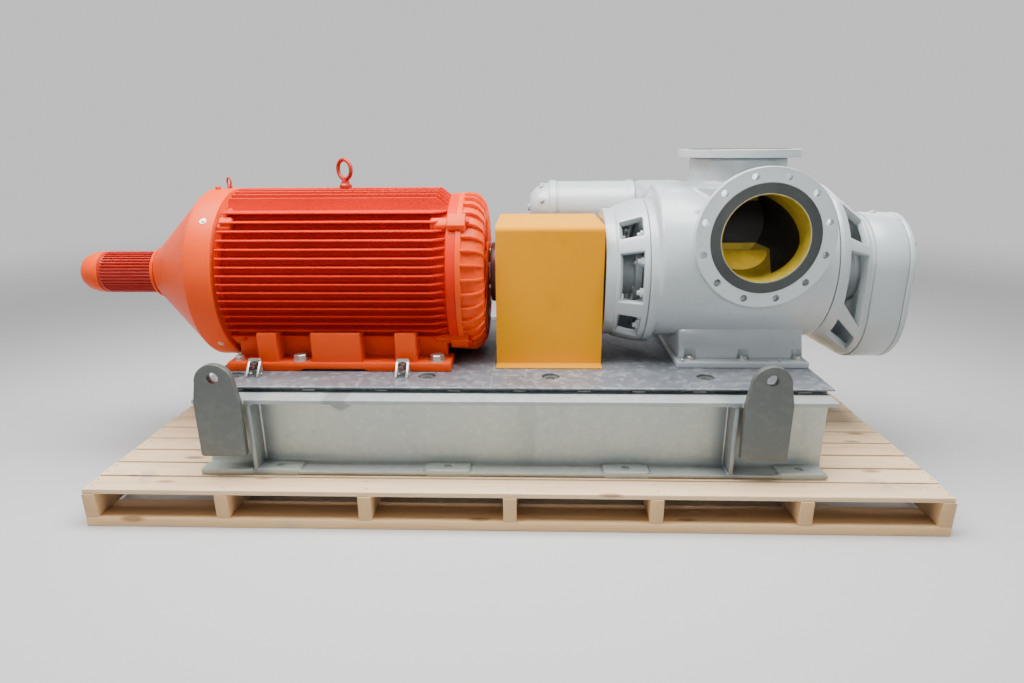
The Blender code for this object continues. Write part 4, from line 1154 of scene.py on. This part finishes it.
# %% [markdown]
# ## Jacking brackets
# Beside the motor's feet, small zinc-plated brackets on the plate hold a screw that pushes the foot sideways
# until the shafts line up. Each is an upright lug, a diagonal arm that braces it and the screw.

# %% Jacking brackets


def jacks():
    brackets, heads, rods = [], [], []
    low = PLATE_TOP + 0.0003
    for x in (-0.953, -0.402):
        for side in (-1, 1):
            near, far = sorted((side * 0.340, side * 0.351))
            brackets.append(plate(rounded((x - 0.024, low), (x + 0.024, PLATE_TOP + 0.060), 0.008), "Y", near, far,
                                  0.0015))
            for shift in (-0.020, 0.020):
                arm = [(side * 0.349, PLATE_TOP + 0.052), (side * 0.349, PLATE_TOP + 0.036),
                       (side * 0.375, low), (side * 0.390, low), (side * 0.390, PLATE_TOP + 0.006)]
                brackets.append(plate(arm, "X", x + shift - 0.004, x + shift + 0.004, 0.001))
            height = PLATE_TOP + 0.034
            heads.append(at(Vector((x, side * 0.351, height)), Vector((0, side, 0)), 0.3))
            rods.append(drum([(side * 0.3205, 0), (side * 0.3205, 0.008), (side * 0.386, 0.008), (side * 0.386, 0)],
                             "Y", (x, 0, height), 16))
            brackets.append(bead((x - 0.024, side * 0.353, PLATE_TOP + 0.002),
                                 (x + 0.024, side * 0.353, PLATE_TOP + 0.002), 0.004))
    piece("jacking_brackets", stamped(*brackets), "zinc_hardware")
    piece("jacking_screws", stamped((M16, heads), *rods), "dark_steel")


jacks()

# %% [markdown]
# ## The coupling
# Two hubs and a flexible element between them join the motor's shaft to the pump's. They turn together under
# the guard, so they ride on the drive train's body. Hubs are turned, and their bolts sit on a circle.

# %% The coupling


def coupling():
    centre = (0, 0, AXIS_Z)
    left = [(-0.0900, 0), (-0.0900, 0.108), (-0.087, 0.118), (-0.062, 0.120), (-0.023, 0.120), (-0.020, 0.117),
            (-0.020, 0.092), (-0.016, 0.088), (0.083, 0.088), (0.085, 0.090), (0.085, 0.125), (0.1097, 0.125),
            (0.1097, 0)]
    right = [(0.1603, 0), (0.1603, 0.125), (0.185, 0.125), (0.185, 0.090), (0.187, 0.088), (0.290, 0.088),
             (0.318, 0.090), (0.336, 0.074), (0.338, 0.070), (0.338, 0)]
    middle = [(0.110, 0), (0.110, 0.098), (0.116, 0.1145), (0.120, 0.115), (0.122, 0.110), (0.126, 0.110),
              (0.128, 0.115), (0.142, 0.115), (0.144, 0.110), (0.148, 0.110), (0.150, 0.115), (0.154, 0.1145),
              (0.160, 0.098), (0.160, 0)]
    piece("motor_hub_turned", drum(left, "X", centre, 96, 0.0012), "dark_steel", ["motor_hub"], DRIVE_TRAIN)
    piece("pump_hub_turned", drum(right, "X", centre, 96, 0.0012), "dark_steel", ["pump_hub"], DRIVE_TRAIN)
    piece("flexible_element", drum(middle, "X", centre, 96), "black_rubber", ["coupling_element"], DRIVE_TRAIN)
    heads = circle_of(6, (-0.0895, 0, AXIS_Z), 0.088, "X", (-1, 0, 0))
    flange = circle_of(8, (0.0852, 0, AXIS_Z), 0.1085, "X", (-1, 0, 0))
    flange += circle_of(8, (0.1848, 0, AXIS_Z), 0.1085, "X", (1, 0, 0), 0)
    small = bolt(0.010, washer=False)
    piece("coupling_bolts", stamped((small, heads), (M12, flange)), "bright_steel", body=DRIVE_TRAIN)
    repaint("bright_steel", "motor_shaft", "pump_shaft")


coupling()

# %% [markdown]
# ## The coupling guard
# The guard is sheet, folded over the coupling. Its outline across the shaft is drawn as a strip with round
# bends and short lips at the bottom, then extruded. The two end walls are cut from plate with a round way for
# the hubs and stand just inside the folded sheet.

# %% The coupling guard
GUARD_X = (-0.062, 0.338)
GUARD_Y, GUARD_TOP, GUARD_WALL = 0.23, 0.980, 0.004
GUARD_LIP = 0.28


def guard():
    low, bend = PLATE_TOP + 0.0003, 0.022
    inner = bend - GUARD_WALL
    foot = low + GUARD_WALL
    outside = [(-GUARD_LIP, low), (-GUARD_LIP, foot), (-GUARD_Y - 0.004, foot),
               *arc((-GUARD_Y - 0.004, foot + 0.004), 0.004, 270, 360, 3),
               *arc((-GUARD_Y + bend, GUARD_TOP - bend), bend, 180, 90, 6),
               *arc((GUARD_Y - bend, GUARD_TOP - bend), bend, 90, 0, 6),
               *arc((GUARD_Y + 0.004, foot + 0.004), 0.004, 180, 270, 3), (GUARD_LIP, foot),
               (GUARD_LIP, low)]
    inside = [(GUARD_Y - GUARD_WALL, low), *arc((GUARD_Y - bend, GUARD_TOP - bend), inner, 0, 90, 6),
              *arc((-GUARD_Y + bend, GUARD_TOP - bend), inner, 90, 180, 6), (-GUARD_Y + GUARD_WALL, low)]
    sheet = plate(outside + inside, "X", GUARD_X[0], GUARD_X[1], 0.0012)
    wall_outline = rounded((-GUARD_Y + GUARD_WALL + 0.0003, low), (GUARD_Y - GUARD_WALL - 0.0003,
                           GUARD_TOP - GUARD_WALL - 0.0003), inner)
    way = drum([(-0.2, 0), (-0.2, 0.132), (0.5, 0.132), (0.5, 0)], "X", (0, 0, AXIS_Z), 96)
    walls = []
    for x in (GUARD_X[0] + 0.0006, GUARD_X[1] - GUARD_WALL - 0.0006):
        walls.append(drilled(plate(wall_outline, "X", x, x + GUARD_WALL), way, edge=0.0012))
    collar = [(0.132, 0), (0.1355, 0)]
    trims = []
    for x in (GUARD_X[0] - 0.0006, GUARD_X[1] - 0.0054):
        trims.append(drum([(x, 0.1295), (x, 0.1345), (x + 0.006, 0.1345), (x + 0.006, 0.1295)], "X",
                          (0, 0, AXIS_Z), 96, 0.0012))
    seams = []
    for x in (GUARD_X[0] + 0.0048, GUARD_X[1] - 0.0048):
        for y in (-GUARD_Y + 0.005, GUARD_Y - 0.005):
            seams.append(bead((x, y, low + 0.01), (x, y, GUARD_TOP - 0.03), 0.003, 0.012))
    screw = bolt(0.008)
    piece("guard_sheet", stamped(sheet, *walls, *seams), "guard_yellow", ["coupling_guard"])
    piece("guard_edge_trims", stamped(*trims), "black_rubber")
    tabs, heads = [], []
    for side in (-1, 1):
        for x in (GUARD_X[0] + 0.05, GUARD_X[1] - 0.05):
            tab = plate(rounded((x - 0.018, min(side * 0.2, side * 0.225)), (x + 0.018, max(side * 0.2, side * 0.225)),
                                0.004), "Z", low, low + 0.004, 0.0008)
            tabs.append(tab)
            heads.append(at((x, side * 0.212, low + 0.004)))
    piece("guard_tabs", stamped(*tabs), "guard_yellow")
    piece("guard_screws", stamped((screw, heads)), "zinc_hardware")


guard()

# %% [markdown]
# ## The pump's casing
# The casing is one casting: a barrel, two necks, the relief valve's chamber behind and the rise of the foot.
# Its parts overlap, and a voxel remesh melts them into one skin. Smoothing then rounds every inner corner, as
# a pattern maker does with a fillet. Bores are cut after that, so they keep clean edges.

# %% The casting
PUMP_Z, RIM_Z, HOUSING_Z = 0.815, 0.775, 0.742
CASING_END = 1.158
SUCTION = (0.875, -0.336, 0.947)
DISCHARGE = (0.855, 0, 1.242)
VOXEL = 0.0052


def flared(axis, centre, base, radius, mouth, flare, steps=8):
    """A neck that widens towards the barrel along a quarter circle."""
    toward = 1 if base > mouth else -1
    curve = [(base - toward * (flare - flare * math.sin(math.radians(90 * s / steps))),
              radius + flare - flare * math.cos(math.radians(90 * s / steps)) ) for s in range(steps + 1)]
    return drum([(mouth, 0), (mouth, radius), *curve, (base, 0)], axis, centre, 96)


def casting():
    barrel = [(0.532, 0), (0.532, 0.288), (0.543, 0.300), (1.153, 0.300), (1.158, 0.295), (1.158, 0)]
    rim = [(0.4997, 0), (0.4997, 0.282), (0.5025, 0.285), (0.532, 0.285), (0.540, 0.279), (0.540, 0)]
    parts = [drum(barrel, "X", (0, 0, PUMP_Z), 128), drum(rim, "X", (0, 0, RIM_Z), 128)]
    parts.append(flared("Y", (SUCTION[0], 0, SUCTION[2]), -0.215, 0.190, -0.3055, 0.045))
    parts.append(flared("Z", (DISCHARGE[0], DISCHARGE[1], 0), 1.108, 0.178, 1.2115, 0.032))
    parts.append(drum([(0.95, 0), (0.95, 0.206), (1.108, 0.206), (1.108, 0)], "Z", (DISCHARGE[0], DISCHARGE[1], 0)))
    parts.append(block((0.5203, 0.10, 0.865), (0.76, 0.505, 1.105), 0.045, 5))
    parts.append(block((0.545, -0.13, 0.93), (0.80, 0.30, 1.108), 0.05, 5))
    solid = stamped(*parts)
    soft = worked(solid, ("REMESH", {"mode": "VOXEL", "voxel_size": VOXEL, "adaptivity": 0.0}),
                  ("SMOOTH", {"factor": 0.5, "iterations": 9}))
    return soft


def casing_bores():
    """The inside: the inlet with the rotor housing left standing in it, and the outlet."""
    inlet = drum([(-0.40, 0), (-0.40, 0.1535), (0.131, 0.1535), (0.131, 0)], "Y",
                 (SUCTION[0], 0, SUCTION[2]), 96)
    housing = drum([(0.55, 0), (0.55, 0.114), (0.992, 0.114), (0.992, 0)], "X", (0, 0, HOUSING_Z), 90)
    inlet = drilled(inlet, housing)
    outlet = drum([(1.139, 0), (1.139, 0.151), (1.30, 0.151), (1.30, 0)], "Z", (DISCHARGE[0], 0, 0), 96)
    ends = [drum([(x0, 0), (x0, 0.245), (x1, 0.245), (x1, 0)], "X", (0, 0, z), 64)
            for x0, x1, z in ((0.49, 0.5025, RIM_Z), (1.1555, 1.17, PUMP_Z))]
    return [inlet, outlet, *ends]


casing = drilled(casting(), *casing_bores())
piece("pump_casing_cast", casing, "pump_grey", ["pump_casing"])


def linings():
    """The primed wall of the inlet, a thin cup just inside the bore, and the housing in it."""
    cup = [(-0.3338, 0.1522), (-0.3338, 0.1500), (0.1275, 0.1500), (0.1275, 0), (0.1300, 0), (0.1300, 0.1522)]
    wall = worked(drum([(-0.3338, 0), (-0.3338, 0.1522), (0.1302, 0.1522), (0.1302, 0)], "Y",
                       (SUCTION[0], 0, SUCTION[2]), 96))
    hollow = drum([(-0.36, 0), (-0.36, 0.1500), (0.1280, 0.1500), (0.1280, 0)], "Y",
                  (SUCTION[0], 0, SUCTION[2]), 96)
    housing_room = drum([(0.54, 0), (0.54, 0.1145), (0.9925, 0.1145), (0.9925, 0)], "X", (0, 0, HOUSING_Z), 90)
    piece("inlet_lining", drilled(wall, hollow, housing_room), "bore_yellow")
    shell = drum([(0.60, 0), (0.60, 0.1158), (0.9930, 0.1158), (0.9930, 0)], "X", (0, 0, HOUSING_Z), 90)
    keep = drum([(-0.300, 0), (-0.300, 0.1498), (0.1278, 0.1498), (0.1278, 0)], "Y",
                (SUCTION[0], 0, SUCTION[2]), 96)
    inside = worked(shell, ("BOOLEAN", {"operation": "INTERSECT", "solver": "EXACT", "object": keep}))
    piece("rotor_housing", inside, "housing_yellow_lit")
    cup = drum([(1.1405, 0), (1.1405, 0.1505), (1.2415, 0.1505), (1.2415, 0.1490), (1.143, 0.1490), (1.143, 0)],
               "Z", (DISCHARGE[0], 0, 0), 96)
    piece("outlet_lining", cup, "bore_yellow")


linings()

# %% [markdown]
# ## Flanges
# Both flanges follow a common pipe standard: twelve holes that straddle the centre lines. Each is turned, with
# a raised face, and drilled. The sealing face is a separate ring in bare machined steel, with shallow grooves.

# %% Flanges


def flange(name, node, axis, centre, face, back, radii, circle, hole, primer=0.0):
    """face and back are along the axis, radii are bore, raised face and rim."""
    bore, raised, rim = radii
    out = 1 if face > back else -1
    step = face - out * 0.002
    profile = [(back, bore), (step, bore), (step, rim - 0.0012), (step - out * 0.0012, rim),
               (back + out * 0.0012, rim), (back, rim - 0.0012)]
    body = drum(profile, axis, centre, 144)
    cutter = drum([(-0.06, 0), (-0.06, hole), (0.06, hole), (0.06, 0)], "Z", segments=24)
    direction = {"Y": (0, 1, 0), "Z": (0, 0, 1)}[axis]
    middle = Vector(centre)
    middle[{"Y": 1, "Z": 2}[axis]] = (face + back) / 2
    places = circle_of(12, middle, circle, axis, direction)
    piece(name, drilled(body, stamped((cutter, places))), "pump_grey", [node])
    ring = [(step - out * 0.0004, bore + 0.0004)]
    for step_number in range(7):
        radius = bore + 0.004 + (raised - bore - 0.008) * step_number / 6
        ring += [(face - out * 0.0004, radius - 0.0012), (face, radius), (face - out * 0.0004, radius + 0.0012)]
    ring.append((step - out * 0.0004, raised))
    piece(f"{name}_face", drum(ring, axis, centre, 144), "machined_steel")


flange("suction_flange_ring", "suction_flange", "Y", (SUCTION[0], 0, SUCTION[2]), -0.336, -0.306,
       (0.1525, 0.1905, 0.2413), 0.2159, 0.013)
flange("discharge_flange_ring", "discharge_flange", "Z", (DISCHARGE[0], 0, 0), 1.242, 1.212,
       (0.150, 0.185, 0.2225), 0.200, 0.0127)

# %% [markdown]
# ## The brackets at both ends
# A bracket is a cage between the casing and a bearing. Its skin runs in rings from one outline to the next, with
# windows left out, so that the shaft seal can be reached. Solidify gives it the thickness of a casting.

# %% Bracket cages
RING_STEPS = 144


def ring(x, radius, centre_z, straight=0.0):
    """A ring of points round the shaft: a circle, or two half circles joined by level-sided straights."""
    points = []
    for number in range(RING_STEPS):
        turn = math.tau * number / RING_STEPS
        lift = straight * max(-1, min(1, math.sin(turn) * 6)) if straight else 0
        points.append((x, radius * math.cos(turn), centre_z + radius * math.sin(turn) + lift))
    return points


def cage(rings, windows, thickness):
    """Skins the rings, leaves out each window (ring, ring, degrees, degrees) and thickens what stays."""
    work = bmesh.new()
    rows = [[work.verts.new(point) for point in points] for points in rings]
    for number, (low, high) in enumerate(zip(rows, rows[1:])):
        for step in range(RING_STEPS):
            turn = 360 * (step + 0.5) / RING_STEPS
            tilt = (turn + 90) % 360 - 90
            mirrored = tilt if tilt <= 90 else 180 - tilt
            if any(first <= number < last and start < mirrored < end for first, last, start, end in windows):
                continue
            nxt = (step + 1) % RING_STEPS
            work.faces.new((low[step], low[nxt], high[nxt], high[step]))
    bmesh.ops.recalc_face_normals(work, faces=work.faces)
    loose = [vert for vert in work.verts if not vert.link_faces]
    bmesh.ops.delete(work, geom=loose, context="VERTS")
    skin = shape(work)
    return worked(skin, ("SOLIDIFY", {"thickness": thickness, "offset": -1.0, "use_even_offset": True}),
                  ("BEVEL", {"width": 0.0028, "segments": 2, "limit_method": "ANGLE", "angle_limit": SHARP}))


def blend(x, t):
    """A ring on the way from the bearing disc to the casing."""
    radius = 0.250 + (0.2835 - 0.250) * t
    return ring(x, radius, AXIS_Z + (RIM_Z - AXIS_Z) * t)


def drive_bracket():
    rings = [blend(0.3455, 0.0), blend(0.3815, 0.0), blend(0.386, 0.12), blend(0.393, 0.26), blend(0.407, 0.38),
             blend(0.422, 0.52), blend(0.438, 0.66), blend(0.452, 0.80), blend(0.465, 0.90), blend(0.478, 0.98),
             blend(0.490, 1.0), blend(0.4993, 1.0)]
    windows = [(3, 9, -16, 25), (3, 9, 37, 55), (3, 9, -52, -28)]
    skin = cage(rings, windows, 0.026)
    disc = drum([(0.3453, 0.045), (0.3453, 0.247), (0.347, 0.2495), (0.379, 0.2495), (0.3818, 0.247),
                 (0.3818, 0.045)], "X", (0, 0, AXIS_Z), 128)
    land = drum([(0.4845, 0.222), (0.4845, 0.2825), (0.4993, 0.2825), (0.4993, 0.222)], "X", (0, 0, RIM_Z), 128, 0.002)
    piece("drive_bracket_cage", stamped(skin, disc, land), "pump_grey", ["drive_end_bracket"])
    dark = drum([(0.3400, 0.050), (0.3400, 0.146), (0.3425, 0.1485), (0.3456, 0.1485), (0.3456, 0.050)], "X",
                (0, 0, AXIS_Z), 96)
    rim = drum([(0.3430, 0.1500), (0.3430, 0.198), (0.3456, 0.200), (0.3456, 0.1500)], "X", (0, 0, AXIS_Z), 96)
    piece("bearing_cover", dark, "dark_steel")
    piece("bearing_cover_rim", rim, "machined_steel")
    seal = [(0.3822, 0.045), (0.3822, 0.100), (0.398, 0.100), (0.402, 0.092), (0.448, 0.088), (0.470, 0.088),
            (0.474, 0.112), (0.4995, 0.112), (0.4995, 0.045)]
    piece("drive_seal", drum(seal, "X", (0, 0, AXIS_Z), 96, 0.0015), "pump_grey", ["drive_seal_housing"])
    nuts = []
    for degrees in (-8, 18, 31, 41, -30, -44):
        for side in (0, 180):
            turn = math.radians(180 - degrees if side else degrees)
            spot = (0.4845, 0.254 * math.cos(turn), RIM_Z + 0.254 * math.sin(turn))
            nuts.append(at(spot, (-1, 0, 0), degrees))
    glands = circle_of(6, (0.4740, 0, AXIS_Z), 0.100, "X", (-1, 0, 0))
    covers = circle_of(8, (0.3430, 0, AXIS_Z), 0.176, "X", (-1, 0, 0))
    piece("drive_bracket_nuts", stamped((STUD_20, nuts)), "pump_grey")
    piece("drive_seal_bolts", stamped((M12, glands), (M12, covers)), "zinc_hardware")


# %% [markdown]
# The bracket on the far end widens from the round casing to the long oval of the gear case.

# %% The gear end
OVAL_Z, OVAL_R, OVAL_STRAIGHT = 0.715, 0.200, 0.088


def toward_oval(x, t):
    radius = 0.2965 + (OVAL_R - 0.006 - 0.2965) * t
    return ring(x, radius, PUMP_Z + (OVAL_Z - PUMP_Z) * t, OVAL_STRAIGHT * t)


def oval(radius, steps=24):
    return arc((0, OVAL_Z + OVAL_STRAIGHT), radius, 0, 180, steps) + arc((0, OVAL_Z - OVAL_STRAIGHT), radius,
                                                                       180, 360, steps)


def gear_end():
    rings = [toward_oval(1.1583, 0), *(toward_oval(1.172 + 0.151 * step / 9, step / 9) for step in range(10)),
             toward_oval(1.3345, 1.0)]
    windows = [(3, 9, -16, 17), (3, 9, 28, 60), (3, 9, -52, -29)]
    skin = cage(rings, windows, 0.026)
    land = drum([(1.1583, 0.232), (1.1583, 0.2960), (1.1725, 0.2960), (1.1725, 0.232)], "X", (0, 0, PUMP_Z), 128,
                0.002)
    back = plate(oval(OVAL_R - 0.0055), "X", 1.3225, 1.3346, 0.002)
    opening = drum([(1.30, 0), (1.30, 0.12), (1.35, 0.12), (1.35, 0)], "X", (0, 0, AXIS_Z), 64)
    piece("gear_bracket_cage", stamped(skin, land, drilled(back, opening)), "pump_grey", ["gear_end_bracket"])
    seal = [(1.1585, 0), (1.1585, 0.118), (1.192, 0.118), (1.197, 0.098), (1.303, 0.096), (1.307, 0.110),
            (1.3345, 0.110), (1.3345, 0)]
    piece("gear_seal", drum(seal, "X", (0, 0, AXIS_Z), 96, 0.0015), "pump_grey", ["gear_seal_housing"])
    case = plate(oval(OVAL_R, 30), "X", 1.3352, 1.4540, 0.003)
    step = plate(oval(OVAL_R - 0.008, 30), "X", 1.4535, 1.4560, 0.0)
    cover = plate(oval(OVAL_R, 30), "X", 1.4558, 1.478, 0.006)
    piece("gear_case_cast", stamped(case, step), "pump_grey", ["gear_case"])
    piece("gear_cover_cast", cover, "pump_grey", ["gear_case_cover"])
    spots = []
    for number in range(16):
        turn = math.tau * (number + 0.5) / 16
        lift = OVAL_STRAIGHT if math.sin(turn) > 0.2 else -OVAL_STRAIGHT if math.sin(turn) < -0.2 else \
            OVAL_STRAIGHT * math.sin(turn) * 2.2
        spots.append(at((1.4778, 0.178 * math.cos(turn), OVAL_Z + 0.178 * math.sin(turn) + lift), (1, 0, 0), turn))
    piece("gear_cover_screws", stamped((SCREW_12, spots)), "zinc_hardware")
    nuts = []
    for degrees in (-14, 14, 31, 52, -32, -52):
        for side in (0, 180):
            turn = math.radians(180 - degrees if side else degrees)
            spot = (1.1725, 0.262 * math.cos(turn), PUMP_Z + 0.262 * math.sin(turn))
            nuts.append(at(spot, (1, 0, 0), degrees))
    glands = circle_of(6, (1.1920, 0, AXIS_Z), 0.108, "X", (1, 0, 0))
    piece("gear_bracket_nuts", stamped((STUD_16, nuts)), "pump_grey")
    piece("gear_seal_bolts", stamped((M12, glands)), "zinc_hardware")
    plug = stamped(drum([(0, 0), (0, 0.013), (0.005, 0.013), (0.0065, 0.012), (0.0065, 0)], "Z", segments=20),
                   bolt(0.008, washer=False))
    piece("gear_case_plug", stamped((plug, [at((1.392, 0, OVAL_Z + OVAL_STRAIGHT + OVAL_R - 0.0008))])), "pump_grey")


drive_bracket()
gear_end()

# %% [markdown]
# ## The relief valve and the pump's foot
# The relief valve lies behind the guard, a straight drum with a bolted dome on its end. The foot's front slopes
# outwards, and its bolts sit in pockets milled into the slope, which is why they show as dark half rings.

# %% The relief valve and the foot
RELIEF = (0.397, 0.990)


def relief_valve():
    centre = (0, *RELIEF)
    barrel = [(0.1805, 0), (0.1805, 0.1145), (0.188, 0.115), (0.1885, 0.1125), (0.1905, 0.1125), (0.191, 0.115),
              (0.490, 0.115), (0.4945, 0.1195), (0.5195, 0.1195), (0.5195, 0)]
    dome = [(0.0625, 0), (0.0625, 0.052), (0.066, 0.062), (0.090, 0.088), (0.122, 0.1045), (0.146, 0.1105),
            (0.1485, 0.1185), (0.151, 0.1195), (0.1792, 0.1195), (0.1792, 0)]
    piece("relief_valve_barrel", drum(barrel, "X", centre, 96, 0.001), "pump_grey", ["relief_valve"])
    piece("relief_valve_dome", drum(dome, "X", centre, 96, 0.001), "pump_grey", ["relief_valve_cap"])
    heads = []
    for number in range(8):
        turn = math.tau * (number + 0.5) / 8
        out = Vector((0, math.cos(turn), math.sin(turn)))
        heads.append(at(Vector((0.118, *RELIEF)) + out * 0.1015, Vector((-0.55, 0, 0)) + out * 0.83, turn))
    plug = drum([(0.0525, 0), (0.0525, 0.016), (0.0630, 0.016), (0.0630, 0)], "X", centre, 6, 0.001)
    piece("relief_valve_screws", stamped((M12, heads), plug), "pump_grey")


def pump_foot():
    low, top = PLATE_TOP + 0.0003, PLATE_TOP + 0.0243
    base = block((0.62, -0.266, low), (1.112, 0.266, top), 0.004, 3)
    slope = [(-0.228, top - 0.003), (0.228, top - 0.003), (0.176, 0.625), (-0.176, 0.625)]
    riser = plate(slope, "X", 0.632, 1.103, 0.012)
    saddle = drum([(0.3, 0), (0.3, 0.2985), (1.4, 0.2985), (1.4, 0)], "X", (0, 0, PUMP_Z), 128)
    pockets = []
    pocket = drum([(0.0, 0), (0.0, 0.0245), (0.036, 0.0245), (0.036, 0)], "Z", segments=32)
    spots = [(x, side * 0.230) for x in (0.676, 0.877, 1.079) for side in (-1, 1)]
    pockets = stamped((pocket, [Matrix.Translation((x, y, top + 0.0006)) for x, y in spots]))
    riser = drilled(riser, saddle, pockets)
    piece("pump_foot_cast", stamped(base, riser), "pump_grey", ["pump_foot"])
    places = [at((x, y, top), turn=x * 20) for x, y in spots]
    piece("pump_foot_bolts", stamped((M16, places)), "zinc_hardware")
    pins = [at((x, y, top)) for x in (0.640, 1.000) for y in (-0.257, 0.257)]
    pin = drum([(0, 0), (0, 0.0065), (0.009, 0.0065), (0.0105, 0.005), (0.0105, 0)], "Z", segments=16)
    piece("dowel_pins", stamped((pin, pins)), "bright_steel")


relief_valve()
pump_foot()

# %% [markdown]
# ## Ready
# The view layer is brought up to date.

# %% Ready
bpy.context.view_layer.update()
